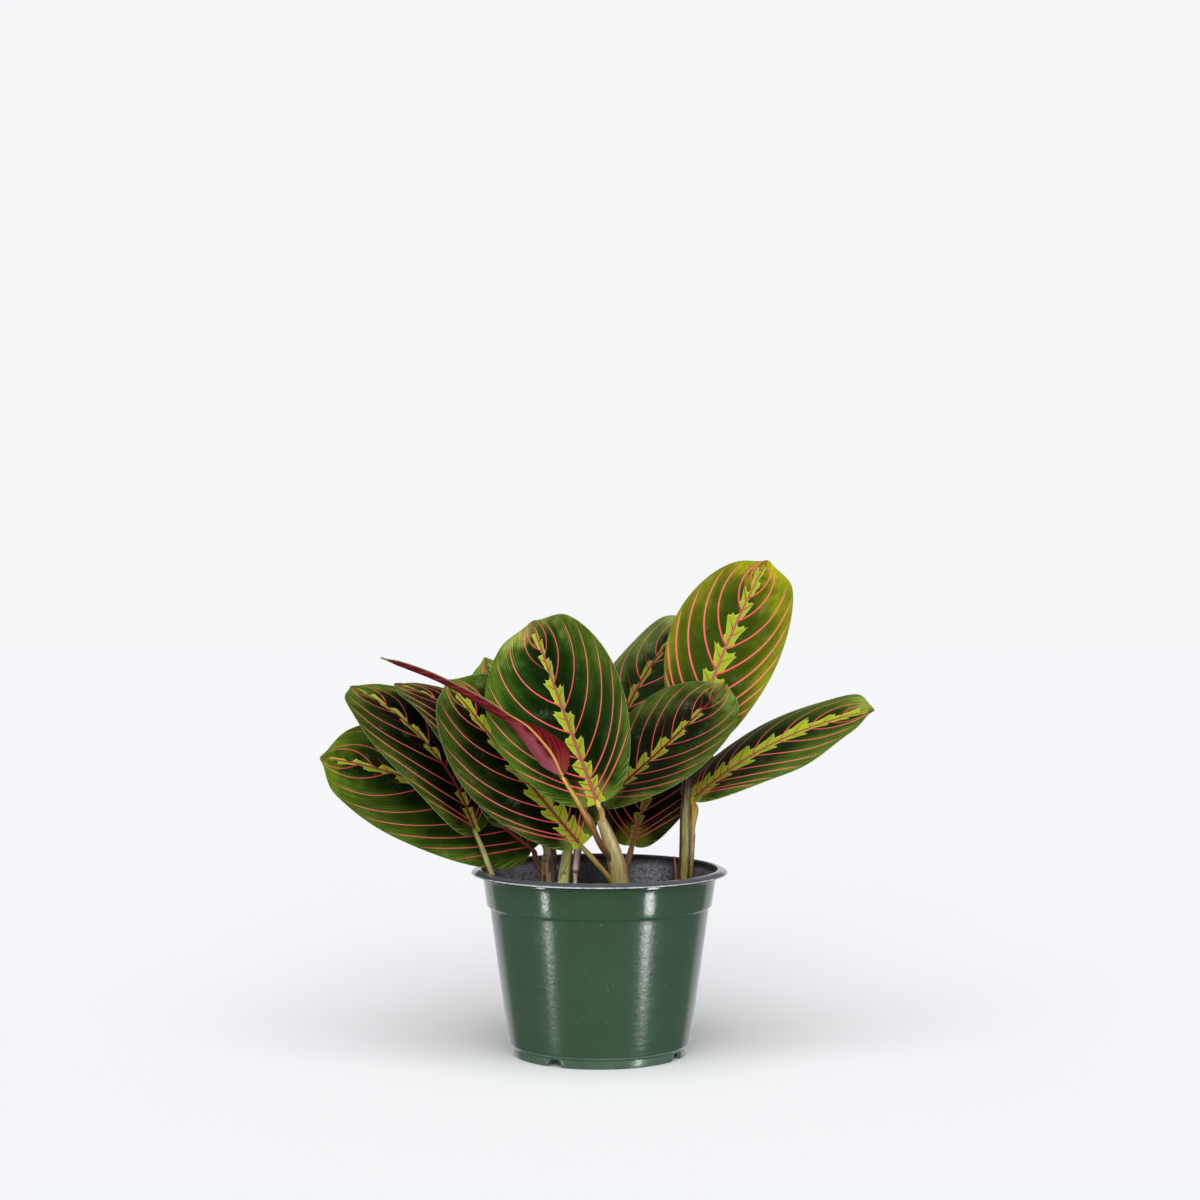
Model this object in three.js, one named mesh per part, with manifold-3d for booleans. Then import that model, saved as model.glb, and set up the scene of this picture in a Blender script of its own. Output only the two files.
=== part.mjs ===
// A potted prayer plant (Maranta): a green nursery pot, its soil, seven shoots with their
// leaf stalks, eleven open leaves and one new leaf that is still rolled up.
// Millimetres, +Z up. The origin is the centre of the pot's underside, on the surface that it
// stands on. +X is to the plant's right seen from its front, and +Y points away behind it.
import * as THREE from 'three';
import { mergeVertices } from 'three/addons/utils/BufferGeometryUtils.js';
import Module from 'manifold-3d';

// ---------------------------------------------------------------- driving dimensions

const CLEARANCE = 0.3; // between pieces that touch

const POT = {
  height: 91,
  rimRadius: 63.5, // outer edge of the lip, which slopes down outwards
  crestRadius: 60, // highest line of the lip
  mouthRadius: 58.5, // inner edge of the lip
  lipHeight: 2.2,
  neckRadius: 59.3, // just under the lip
  neckHeight: 2.2,
  bandTopRadius: 57.7,
  bandBottomRadius: 55.7,
  bandBottom: 72.8, // lower edge of the band round the top
  wallTopRadius: 54.2,
  wallBottomRadius: 45,
  footRadius: 43.3,
  footHeight: 4.2,
  wall: 1.3,
  floor: 1.4,
  ledgeHeight: 4.6, // below the top, where the mouth steps in to the inner wall
  padRadius: 9, // flat boss in the middle of the underside
};
const NOTCH = { count: 4, firstAngle: -120, bottomWidth: 9, topWidth: 4.6, height: 3.5 };
const POT_SIDES = 56;

const SOIL = {
  level: 74.5, // in the middle of the pot
  moundRise: 9, // at the back on the right
  moundAngle: 16,
  edgeGap: CLEARANCE,
  crumb: 0.5,
  sides: 36,
};

// The blade of a leaf. Its flat outline is worked out from a length and a half width, and its
// grid lines run as the side veins do, out from the midrib and round towards the tip.
const BLADE = {
  thickness: 0.7,
  lobe: 9, // how far the rounded base reaches back beside the stalk
  pinch: 0.68, // draws the end in to a small point
  pinchLength: 0.045,
  ridge: 1.0, // the midrib's height under the blade at its base
  ridgeTip: 0.25,
  stations: 17,
  columns: 4, // on each side of the midrib
  waveCount: 2.5,
  wave: 1.1,
};

// Each leaf grows from its base point. heading turns from the first to the second angle along
// the midrib (0 is +X, 90 is +Y), rise is the midrib's angle above level, roll turns the blade
// about the midrib (plus lowers its left side), lift folds the left and right halves upwards,
// and curl is how much each half then bends on its way to the margin. Degrees. fullest places
// the widest part (1 is the middle, less is nearer the base), and ends says how the left and
// right margins run out to the ends: 0.5 as an ellipse, less is blunter, more is narrower.
const LEAVES = [
  { name: 'leaf_01', base: [-33.5, 7.5, 99], length: 119, halfWidth: 33.5, fullest: 0.9,
    heading: [170, 175], rise: [39, 6], roll: [52, 58], lift: [8, 13], curl: [-17, -17],
    ends: [0.45, 0.5] },
  { name: 'leaf_02', base: [-61, -3, 109], length: 104.5, halfWidth: 30, fullest: 0.94,
    heading: [170, 147], rise: [73, 17], roll: [30, 17], lift: [12, 5], curl: [-15, -18],
    ends: [0.49, 0.64] },
  { name: 'leaf_03', base: [-43, 0, 113.5], length: 100.5, halfWidth: 26, fullest: 0.82,
    heading: [156, 164], rise: [85, 8], roll: [26, 16], lift: [8, 0], curl: [-12, -19],
    ends: [0.45, 0.67] },
  { name: 'leaf_04', base: [-9, -12.5, 103.5], length: 107, halfWidth: 35.5, fullest: 0.99,
    heading: [164, 160], rise: [48, 49], roll: [48, 44], lift: [20, 24], curl: [-4, -7],
    ends: [0.6, 0.55] },
  { name: 'leaf_05', base: [-1, -25, 125.5], length: 103, halfWidth: 37, fullest: 1,
    heading: [138, 118], rise: [63, 53], roll: [48, 40], lift: [14, 28], curl: [-3, 4],
    ends: [0.53, 0.46] },
  { name: 'leaf_07', base: [5, 23, 140.5], length: 91, halfWidth: 27.5, fullest: 0.86,
    heading: [53, 18], rise: [69, 40], roll: [-18, -38], lift: [3, -1], curl: [-44, -26],
    ends: [0.35, 0.56] },
  { name: 'leaf_08', base: [46.5, 22, 152.5], length: 103.5, halfWidth: 30, fullest: 1.05,
    heading: [35, 33], rise: [68, 56], roll: [-40, -42], lift: [25, 12], curl: [-5, -1],
    ends: [0.61, 0.36] },
  { name: 'leaf_09', base: [3, 6, 124.5], length: 86, halfWidth: 28.5, fullest: 0.87,
    heading: [-10, 36], rise: [42, 41], roll: [-34, -41], lift: [14, 11], curl: [-8, -9],
    ends: [0.7, 0.5] },
  { name: 'leaf_10', base: [46.5, 15.5, 123.5], length: 104, halfWidth: 30.5, fullest: 0.92,
    heading: [16, -19], rise: [41, 11], roll: [-19, -40], lift: [6, 10], curl: [-41, -16],
    ends: [0.42, 0.59] },
  { name: 'leaf_11', base: [16.5, 27.5, 99], length: 83, halfWidth: 27.5, fullest: 0.89,
    heading: [50, 61], rise: [70, 13], roll: [-7, -17], lift: [7, 10], curl: [-15, -14],
    ends: [0.59, 0.53] },
  { name: 'leaf_12', base: [-12.5, 24, 119.5], length: 93, halfWidth: 26, fullest: 0.88,
    heading: [142, 153], rise: [45, 61], roll: [34, 26], lift: [-2, 6], curl: [-22, -14],
    ends: [0.47, 0.57] },
];

// The newest leaf is still rolled round its own length, half open near its base. Its underside
// faces out. Each station gives the place along it, the radius of the roll and the angle
// that the blade wraps round.
const ROLLED = {
  name: 'leaf_06',
  base: [-17.5, -42, 139.5],
  length: 115.5,
  heading: [144, 167],
  rise: [43, 15],
  thickness: 0.7,
  overlapStep: 1.6, // how far inside the outer margin the inner one lies
  stations: [
    [0, 1.2, 110], [0.03, 3.6, 150], [0.08, 6, 180], [0.15, 7.4, 200], [0.22, 7.6, 215],
    [0.3, 6.9, 235], [0.38, 5.6, 270], [0.46, 4.4, 310], [0.54, 3.5, 350], [0.64, 3, 380],
    [0.76, 2.8, 390], [0.87, 2.4, 370], [0.95, 1.6, 320], [1, 0.8, 290],
  ],
  columns: 14,
};

// Shoots and leaf stalks: each stalk is a tapering round tube through its points, and the
// stalks of one shoot are one body. The last number of each point is the radius. A stalk that
// carries a leaf ends just under that leaf's base.
const SHOOTS = [
  { name: 'shoot_1', colour: '#7a6a45', stalks: [
    { carries: 'leaf_03', points: [[-25, 4.5, 61, 3.9], [-25, 5, 77, 3.9], [-25, 5.5, 91, 3.8],
      [-25.5, 6, 101, 3.4], [-31, 5, 107, 2.4], [-38, 2, 110, 1.9]] },
    { carries: 'leaf_01', points: [[-25.5, 5.5, 78, 1.6], [-28.5, 6.5, 88, 1.6],
      [-31.5, 7.5, 93, 1.5]] },
  ] },
  { name: 'shoot_2', colour: '#8d9462', stalks: [
    { carries: 'leaf_02', points: [[-46, -6, 61, 1.9], [-50.5, -6.5, 79, 1.8],
      [-53, -7, 88, 1.6], [-56.8, -7, 99, 1.4]] },
  ] },
  { name: 'shoot_3', colour: '#8fa05c', stalks: [
    { carries: 'leaf_12', points: [[-19, 1, 61, 3.2], [-18.5, 1.5, 77, 3.1], [-17.6, 3, 86, 2.9],
      [-15.8, 7, 98, 2.4], [-14, 13, 108.5, 2]] },
    { points: [[-19, 9.5, 70, 1.4], [-19.4, 10.3, 82, 1.4], [-18.6, 11.2, 91.5, 1.4],
      [-16.8, 12, 99, 1.3], [-14.2, 13, 108, 1.2]] },
  ] },
  { name: 'shoot_4', colour: '#8a7063', stalks: [
    { carries: 'leaf_07', points: [[-12, 2, 61, 1.9], [-12, 2, 78, 1.9], [-12, 2.2, 88, 1.8],
      [-12, 2.4, 88.8, 2.3], [-11.9, 2.6, 90, 2.2], [-11, 5, 98, 2], [-7.5, 10.5, 109, 1.7],
      [-2, 16.5, 124, 1.5]] },
  ] },
  { name: 'shoot_5', colour: '#9ba86c', stalks: [
    { carries: 'leaf_05', points: [[16, -7.5, 61, 4.2], [12.6, -9, 78.7, 4.2],
      [10.6, -10, 84.7, 4.1], [7.9, -13, 95.4, 3.8], [4.4, -16, 106.6, 3],
      [1.3, -18.2, 115.3, 2], [0.5, -19.5, 117.5, 2.1], [0.8, -21.5, 121, 1.6]] },
    { carries: 'leaf_04', points: [[7.5, -11.5, 80, 1.8], [6.4, -12.5, 85, 1.7],
      [1.8, -14.5, 91.5, 1.5], [-3, -14, 97, 1.8]] },
    { carries: 'leaf_06', points: [[7.5, -12, 84, 1.8], [3.8, -17, 96.4, 2],
      [0.9, -22.5, 104.5, 1.6], [-3.6, -31, 115, 1.6], [-5, -33.5, 118, 2],
      [-8.5, -36.5, 124, 1.5], [-13.6, -40, 133, 1.5]] },
    { carries: 'leaf_09', points: [[4.4, -14, 104, 1.8], [2.5, -6, 110, 1.6],
      [1.2, 1.5, 115.5, 1.5], [1.8, 6.3, 120, 1.4]] },
  ] },
  { name: 'shoot_6', colour: '#84624c', stalks: [
    { carries: 'leaf_11', points: [[7, 11, 61, 2.2], [9.5, 15, 77, 2.1], [12.9, 22, 88, 1.8],
      [15.3, 26, 94, 1.6]] },
  ] },
  { name: 'shoot_7', colour: '#8f8a52', stalks: [
    { carries: 'leaf_08', points: [[41.3, 7, 61, 2.3], [41.5, 7, 80, 2.1], [41.7, 6.5, 101, 1.9],
      [42, 5.6, 118, 1.6], [42.8, 7, 131, 1.5], [44.8, 14, 143, 1.5]] },
    { carries: 'leaf_10', points: [[44, 9, 61, 1.9], [44.6, 9, 79, 1.8], [45.2, 9.3, 101, 1.6],
      [46, 10.4, 112, 2], [46.8, 12.3, 119, 1.9]] },
  ] },
  { name: 'dry_strand', colour: '#8a5a3a', stalks: [
    { points: [[39, 3, 70, 0.6], [38.1, 3.4, 84.5, 0.6], [37.8, 3.6, 90.5, 0.5],
      [37.1, 4, 96.5, 0.4]] },
  ] },
];
const STALK_SIDES = 8;
const STALK_STEP = 5; // mm of stalk between rings
const STALK_END = { radius: 1.1, below: 0.9 }; // where it meets the leaf

const COLOURS = {
  pot: { color: '#3b5a43', roughness: 0.25, metalness: 0 },
  soil: { color: '#3a2f26', roughness: 1, metalness: 0 },
  leaf: { color: '#2f4a1f', roughness: 0.45, metalness: 0 },
  brightLeaf: { color: '#6f8a2a', roughness: 0.45, metalness: 0 },
  rolledLeaf: { color: '#8c2334', roughness: 0.45, metalness: 0 },
};
const BRIGHT_LEAVES = ['leaf_01', 'leaf_08'];

// ---------------------------------------------------------------- solids and booleans

const wasm = await Module();
wasm.setup();

function toSolid(geometry) {
  const bare = geometry.clone();
  bare.deleteAttribute('normal');
  bare.deleteAttribute('uv');
  const merged = mergeVertices(bare, 1e-4);
  return new wasm.Manifold(new wasm.Mesh({
    numProp: 3,
    vertProperties: new Float32Array(merged.attributes.position.array),
    triVerts: new Uint32Array(merged.index.array),
  }));
}

function toGeometry(solid) {
  const mesh = solid.getMesh();
  const geometry = new THREE.BufferGeometry();
  geometry.setAttribute('position', new THREE.BufferAttribute(mesh.vertProperties, 3));
  geometry.setIndex(new THREE.BufferAttribute(mesh.triVerts, 1));
  geometry.computeVertexNormals();
  return geometry;
}

function meshGeometry(points, triangles) {
  const geometry = new THREE.BufferGeometry();
  const flat = points.flatMap((p) => [p.x, p.y, p.z]);
  geometry.setAttribute('position', new THREE.Float32BufferAttribute(flat, 3));
  geometry.setIndex(triangles.flat());
  geometry.computeVertexNormals();
  return geometry;
}

function latheSolid(profile, sides) {
  const points = profile.map(([radius, height]) => new THREE.Vector2(radius, height));
  return new THREE.LatheGeometry(points, sides).rotateX(Math.PI / 2);
}

function namedMesh(name, geometry, finish) {
  const mesh = new THREE.Mesh(geometry, new THREE.MeshStandardMaterial(finish));
  mesh.name = name;
  return mesh;
}

const radians = THREE.MathUtils.degToRad;
const lerp = THREE.MathUtils.lerp;

// ---------------------------------------------------------------- pot and soil

// Radius of the pot's inner wall at a height, below the ledge of the mouth.
function innerRadius(height) {
  const band = POT.bandBottom - 1;
  if (height > band) {
    const up = (height - band) / (POT.height - POT.ledgeHeight - band);
    return lerp(POT.bandBottomRadius, POT.bandTopRadius, up) - POT.wall;
  }
  const up = (height - POT.footHeight) / (band - POT.footHeight);
  return lerp(POT.wallBottomRadius, POT.wallTopRadius, up) - POT.wall;
}

function potProfile() {
  const top = POT.height;
  const lipBottom = top - POT.lipHeight;
  const neckBottom = lipBottom - POT.neckHeight;
  const floorTop = POT.footHeight + POT.floor;
  const ledge = top - POT.ledgeHeight;
  const footInner = POT.footRadius - POT.wall;
  return [
    [0, 0], [POT.padRadius, 0], [POT.padRadius, POT.footHeight],
    [footInner, POT.footHeight], [footInner, 0], [POT.footRadius, 0],
    [POT.footRadius + 0.3, POT.footHeight], [POT.wallBottomRadius, POT.footHeight + 1.2],
    [POT.wallTopRadius, POT.bandBottom - 0.6], [POT.bandBottomRadius, POT.bandBottom + 0.4],
    [POT.bandTopRadius, neckBottom], [POT.neckRadius, neckBottom + 0.7],
    [POT.neckRadius, lipBottom], [POT.rimRadius, lipBottom + 0.1],
    [POT.rimRadius, lipBottom + 0.5], [POT.rimRadius - 1.6, top - 0.6],
    [POT.crestRadius, top], [POT.mouthRadius, top], [POT.mouthRadius - 0.1, ledge + 0.6],
    [innerRadius(ledge), ledge], [innerRadius(POT.bandBottom), POT.bandBottom],
    [innerRadius(POT.bandBottom - 1.2), POT.bandBottom - 1.2],
    [innerRadius(floorTop), floorTop], [0, floorTop],
  ];
}

// One drain notch: a trapezoid through the foot ring.
function notchSolid(angle) {
  const half = [NOTCH.bottomWidth / 2, NOTCH.topWidth / 2];
  const below = 1;
  const outline = new THREE.Shape([
    new THREE.Vector2(-half[0], -below), new THREE.Vector2(half[0], -below),
    new THREE.Vector2(half[1], NOTCH.height), new THREE.Vector2(-half[1], NOTCH.height),
  ]);
  const depth = 4;
  const prism = new THREE.ExtrudeGeometry(outline, { depth, bevelEnabled: false });
  prism.rotateX(Math.PI / 2).translate(0, POT.footRadius + 1.5, 0);
  prism.rotateZ(radians(angle) - Math.PI / 2);
  return toSolid(prism);
}

function potGeometry() {
  let solid = toSolid(latheSolid(potProfile(), POT_SIDES));
  for (let i = 0; i < NOTCH.count; i += 1) {
    solid = solid.subtract(notchSolid(NOTCH.firstAngle + (i * 360) / NOTCH.count));
  }
  return toGeometry(solid);
}

// Height of the soil over a point: level, with a mound near the wall and a crumbly surface.
function soilHeight(x, y) {
  const reach = Math.hypot(x, y) / POT.wallTopRadius;
  const turn = Math.cos(Math.atan2(y, x) - radians(SOIL.moundAngle));
  const mound = SOIL.moundRise * reach ** 3 * Math.max(turn, 0) ** 5;
  const crumbs = Math.sin(x * 0.9 + 1) * Math.sin(y * 1.1) + Math.sin(x * 0.37 - y * 0.51);
  return SOIL.level + mound + SOIL.crumb * crumbs;
}

function soilSolid() {
  const bottom = POT.footHeight + POT.floor + CLEARANCE;
  const rings = [0.3, 0.6, 0.85, 1];
  const edge = innerRadius(SOIL.level) - SOIL.edgeGap - 0.1;
  const shoulder = POT.bandBottom - 1.2;
  const profile = [
    [0, bottom], [innerRadius(bottom) - SOIL.edgeGap - 0.1, bottom],
    [innerRadius(shoulder) - SOIL.edgeGap - 0.1, shoulder],
    ...rings.slice().reverse().map((ring) => [edge * ring, SOIL.level]), [0, SOIL.level],
  ];
  const geometry = latheSolid(profile, SOIL.sides);
  const position = geometry.attributes.position;
  for (let i = 0; i < position.count; i += 1) {
    if (position.getZ(i) > SOIL.level - 0.1) {
      position.setZ(i, soilHeight(position.getX(i), position.getY(i)));
    }
  }
  return toSolid(geometry);
}

// ---------------------------------------------------------------- leaves

// The midrib as an arc worked out in short steps, with the frame of the blade at each step.
function midrib(leaf) {
  const steps = 60;
  const at = new THREE.Vector3(...leaf.base);
  const roll = leaf.roll ?? [0, 0];
  const frames = [];
  for (let i = 0; i <= steps; i += 1) {
    const s = i / steps;
    const heading = radians(lerp(...leaf.heading, s));
    const rise = radians(lerp(...leaf.rise, s));
    const turn = radians(lerp(...roll, s));
    const level = new THREE.Vector3(Math.cos(heading), Math.sin(heading), 0);
    const along = level.multiplyScalar(Math.cos(rise)).setZ(Math.sin(rise));
    const side = new THREE.Vector3(Math.sin(heading), -Math.cos(heading), 0);
    const face = new THREE.Vector3().crossVectors(side, along);
    const right = side.clone().multiplyScalar(Math.cos(turn)).addScaledVector(face, Math.sin(turn));
    const up = face.clone().multiplyScalar(Math.cos(turn)).addScaledVector(side, -Math.sin(turn));
    if (i > 0) {
      const before = frames[i - 1].along;
      at.addScaledVector(before.clone().add(along), (leaf.length / steps) / 2);
    }
    frames.push({ at: at.clone(), along, right, up });
  }
  return (s) => {
    const place = Math.min(Math.max(s, 0), 1) * steps;
    const i = Math.min(Math.floor(place), steps - 1);
    const [a, b] = [frames[i], frames[i + 1]];
    const mix = (key) => a[key].clone().lerp(b[key], place - i);
    const over = (s - Math.min(Math.max(s, 0), 1)) * leaf.length;
    const along = mix('along');
    return { at: mix('at').addScaledVector(along, over), along, right: mix('right'), up: mix('up') };
  };
}

// Flat outline: how far along and how far out the margin of one half is at a station from 0
// to 1.
function margin(leaf, half, station) {
  const e = 1 - (1 - station ** 1.4) ** 3.2;
  const end = 1 - BLADE.pinch * Math.exp(-(((1 - e) / BLADE.pinchLength) ** 2));
  const width = Math.max(Math.sin(Math.PI * e ** leaf.fullest), 0) ** leaf.ends[half] * end;
  const along = leaf.length * e - BLADE.lobe * width * (1 - e) ** 6;
  return [along, leaf.halfWidth * width];
}

// A point of the flat blade, on the line that leaves the midrib at this station and curves
// out towards the tip until it meets the margin where out is 1.
function flatPoint(leaf, half, station, out) {
  const root = leaf.length * station ** 1.6;
  const [edgeAlong, edgeOut] = margin(leaf, half, station);
  const bendAlong = root + 0.62 * Math.min(edgeOut, Math.max(edgeAlong - root, 0));
  const bendOut = 0.55 * edgeOut;
  const [a, b, c] = [(1 - out) ** 2, 2 * out * (1 - out), out ** 2];
  return [a * root + b * bendAlong + c * edgeAlong, b * bendOut + c * edgeOut];
}

// Bends a flat point into place: each half is an arc that starts at its lift.
function bladePoint(leaf, rib, station, out, side) {
  const half = side > 0 ? 1 : 0;
  const [along, across] = flatPoint(leaf, half, station, out);
  const frame = rib(along / leaf.length);
  const lift = radians(leaf.lift[half]);
  const bend = radians(leaf.curl[half]) / leaf.halfWidth + 1e-9;
  const reach = (Math.sin(lift + bend * across) - Math.sin(lift)) / bend;
  const phase = leaf.name.charCodeAt(leaf.name.length - 1) + side;
  const ripple = Math.sin(2 * Math.PI * BLADE.waveCount * station + phase);
  const rise = (Math.cos(lift) - Math.cos(lift + bend * across)) / bend
    + BLADE.wave * ripple * (across / leaf.halfWidth) ** 2 * Math.sin(Math.PI * station);
  return frame.at.clone().addScaledVector(frame.right, side * reach).addScaledVector(frame.up, rise);
}

// Closed shell between an upper and a lower copy of the same grid. Rows run along the piece,
// and the first and last may be single points.
function shell(rows, drops) {
  const columns = rows[1].length;
  const normals = rows.map((row, i) => row.map((p, j) => {
    const [r0, r1] = [rows[Math.max(i - 1, 0)], rows[Math.min(i + 1, rows.length - 1)]];
    const pick = (r) => r[Math.min(j, r.length - 1)];
    const [c0, c1] = [row[Math.max(j - 1, 0)], row[Math.min(j + 1, row.length - 1)]];
    const alongRow = row.length > 1 ? c1.clone().sub(c0) : rowSpan(rows[i === 0 ? 1 : i - 1]);
    const acrossRow = pick(r1).clone().sub(pick(r0));
    return alongRow.cross(acrossRow).normalize();
  }));
  const points = [];
  const index = { upper: [], lower: [] };
  for (const layer of ['upper', 'lower']) {
    rows.forEach((row, i) => {
      index[layer].push(row.map((p, j) => {
        const depth = layer === 'upper' ? 0 : -drops[i][Math.min(j, drops[i].length - 1)];
        points.push(p.clone().addScaledVector(normals[i][j], depth));
        return points.length - 1;
      }));
    });
  }
  const triangles = [];
  const add = (layer, a, b, c) => triangles.push(layer === 'upper' ? [a, b, c] : [a, c, b]);
  for (const layer of ['upper', 'lower']) {
    const grid = index[layer];
    for (let i = 0; i + 1 < rows.length; i += 1) {
      for (let j = 0; j + 1 < columns; j += 1) {
        const [a, b] = [grid[i], grid[i + 1]];
        if (a.length === 1) add(layer, a[0], b[j + 1], b[j]);
        else if (b.length === 1) add(layer, a[j], a[j + 1], b[0]);
        else {
          add(layer, a[j], a[j + 1], b[j]);
          add(layer, a[j + 1], b[j + 1], b[j]);
        }
      }
    }
  }
  const rim = (layer) => {
    const grid = index[layer];
    const left = grid.map((row) => row[0]);
    const right = grid.map((row) => row[row.length - 1]).reverse();
    const start = grid[0].length > 1 ? grid[0].slice(1, -1).reverse() : [];
    const end = grid[grid.length - 1].length > 1 ? grid[grid.length - 1].slice(1, -1) : [];
    return [...left, ...end, ...right, ...start];
  };
  const [top, bottom] = [rim('upper'), rim('lower')];
  top.forEach((a, k) => {
    const next = (k + 1) % top.length;
    if (top[next] === a) return;
    triangles.push([a, top[next], bottom[k]], [top[next], bottom[next], bottom[k]]);
  });
  return meshGeometry(points, triangles);
}

function rowSpan(row) {
  return row[row.length - 1].clone().sub(row[0]);
}

function leafGeometry(leaf) {
  const rib = midrib(leaf);
  const rows = [];
  const drops = [];
  for (let i = 0; i <= BLADE.stations; i += 1) {
    const station = i / BLADE.stations;
    const ridge = lerp(BLADE.ridge, BLADE.ridgeTip, station);
    if (i === 0 || i === BLADE.stations) {
      rows.push([bladePoint(leaf, rib, station, 0, 1)]);
      drops.push([BLADE.thickness]);
    } else {
      const row = [];
      const drop = [];
      for (let j = -BLADE.columns; j <= BLADE.columns; j += 1) {
        row.push(bladePoint(leaf, rib, station, Math.abs(j) / BLADE.columns, Math.sign(j) || 1));
        drop.push(BLADE.thickness + (j === 0 ? ridge : 0));
      }
      rows.push(row);
      drops.push(drop);
    }
  }
  return shell(rows, drops);
}

// The rolled leaf: at each station the blade is an arc about a centre line just behind its
// midrib, and past a full turn its right half lies inside its left.
function rolledLeafGeometry(leaf) {
  const rib = midrib(leaf);
  const rows = [];
  const drops = [];
  for (const [place, radius, wrap] of leaf.stations) {
    const { at, right, up } = rib(place);
    const row = [];
    for (let j = 0; j <= leaf.columns; j += 1) {
      const across = j / leaf.columns - 0.5;
      const angle = radians(wrap) * across;
      const inward = Math.min(leaf.overlapStep, 0.6 * radius) * Math.max(2 * across, 0);
      const r = radius - inward * Math.min(wrap / 360, 1) ** 4;
      row.push(at.clone().addScaledVector(right, radius - r * Math.cos(angle))
        .addScaledVector(up, r * Math.sin(angle)));
    }
    rows.push(row);
    drops.push(row.map(() => Math.min(leaf.thickness, 0.6 * radius)));
  }
  return shell(rows, drops);
}

// ---------------------------------------------------------------- shoots

// The points of a stalk, with the end that meets its leaf.
function stalkPoints({ points, carries }) {
  if (!carries) return points;
  const leaf = [...LEAVES, ROLLED].find(({ name }) => name === carries);
  const { at, along } = midrib(leaf)(0);
  at.addScaledVector(along, -STALK_END.below);
  return [...points, [at.x, at.y, at.z, STALK_END.radius]];
}

// A round tube through the points of a stalk, grown by extra millimetres at its foot and all
// round. The last number of each point is the radius there.
function stalkSolid(branch, extra = 0) {
  const [[footX, footY, footZ, footRadius], ...upper] = stalkPoints(branch);
  const stalk = [[footX, footY, footZ - extra, footRadius], ...upper];
  const curve = new THREE.CatmullRomCurve3(
    stalk.map(([x, y, z]) => new THREE.Vector3(x, y, z)), false, 'centripetal');
  const length = curve.getLength();
  const rings = Math.max(3, Math.ceil(length / STALK_STEP));
  const places = stalk.map(([x, y, z]) => new THREE.Vector3(x, y, z));
  const travelled = [0];
  places.slice(1).forEach((p, i) => travelled.push(travelled[i] + p.distanceTo(places[i])));
  const radiusAt = (s) => {
    const goal = s * travelled[travelled.length - 1];
    const i = Math.min(travelled.findLastIndex((d) => d <= goal), stalk.length - 2);
    const t = (goal - travelled[i]) / (travelled[i + 1] - travelled[i]);
    return lerp(stalk[i][3], stalk[i + 1][3], t) + extra;
  };
  const profile = [[0, 0]];
  for (let i = 0; i <= rings; i += 1) profile.push([radiusAt(i / rings), i / rings]);
  profile.push([0, 1]);
  const geometry = latheSolid(profile, STALK_SIDES);
  const frames = curve.computeFrenetFrames(rings, false);
  const position = geometry.attributes.position;
  for (let k = 0; k < position.count; k += 1) {
    const i = Math.round(position.getZ(k) * rings);
    const p = curve.getPointAt(i / rings)
      .addScaledVector(frames.normals[i], position.getX(k))
      .addScaledVector(frames.binormals[i], position.getY(k));
    position.setXYZ(k, p.x, p.y, p.z);
  }
  return toSolid(geometry);
}

function shootSolid(shoot, extra = 0) {
  return shoot.stalks.map((branch) => stalkSolid(branch, extra)).reduce((a, b) => a.add(b));
}

// ---------------------------------------------------------------- the plant

const plant = new THREE.Group();

plant.add(namedMesh('pot', potGeometry(), COLOURS.pot));

let soil = soilSolid();
for (const shoot of SHOOTS) soil = soil.subtract(shootSolid(shoot, CLEARANCE));
plant.add(namedMesh('soil', toGeometry(soil), COLOURS.soil));

for (const shoot of SHOOTS) {
  const finish = { color: shoot.colour, roughness: 0.6, metalness: 0 };
  plant.add(namedMesh(shoot.name, toGeometry(shootSolid(shoot)), finish));
}

for (const leaf of LEAVES) {
  const finish = BRIGHT_LEAVES.includes(leaf.name) ? COLOURS.brightLeaf : COLOURS.leaf;
  plant.add(namedMesh(leaf.name, leafGeometry(leaf), finish));
}
plant.add(namedMesh(ROLLED.name, rolledLeafGeometry(ROLLED), COLOURS.rolledLeaf));

export default plant;
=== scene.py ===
"""A prayer plant (Maranta) in a green nursery pot, on a plain pale stage.

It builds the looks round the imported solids: the pot, the soil, seven shoots, eleven open leaves
and one that is still rolled up. All lengths in this file are millimetres unless they say
otherwise, and turn into metres where a mesh is made.
"""

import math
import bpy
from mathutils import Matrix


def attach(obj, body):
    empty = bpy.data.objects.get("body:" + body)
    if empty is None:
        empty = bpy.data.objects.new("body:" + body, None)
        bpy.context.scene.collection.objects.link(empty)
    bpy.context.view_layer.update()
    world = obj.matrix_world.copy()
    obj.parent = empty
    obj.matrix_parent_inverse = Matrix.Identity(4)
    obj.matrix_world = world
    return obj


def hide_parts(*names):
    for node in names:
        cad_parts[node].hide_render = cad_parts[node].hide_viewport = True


bl_info = {
    "name": "Potted prayer plant",
    "version": (1, 0, 0),
    "blender": (4, 5, 0),
    "location": "3D View > Sidebar > Prayer plant",
    "description": "Builds a potted prayer plant with its leaves, shoots, soil and stage",
    "category": "Add Mesh",
}

import bmesh
import bpy
import numpy as np

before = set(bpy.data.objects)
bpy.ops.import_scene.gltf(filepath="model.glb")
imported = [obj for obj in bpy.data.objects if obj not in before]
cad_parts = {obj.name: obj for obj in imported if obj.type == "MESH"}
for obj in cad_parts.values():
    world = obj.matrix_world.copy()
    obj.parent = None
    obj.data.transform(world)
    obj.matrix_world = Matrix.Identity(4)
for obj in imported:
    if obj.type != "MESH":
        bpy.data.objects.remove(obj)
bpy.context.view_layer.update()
MM = 0.001

# ------------------------------------------------------------------ the leaves

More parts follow.
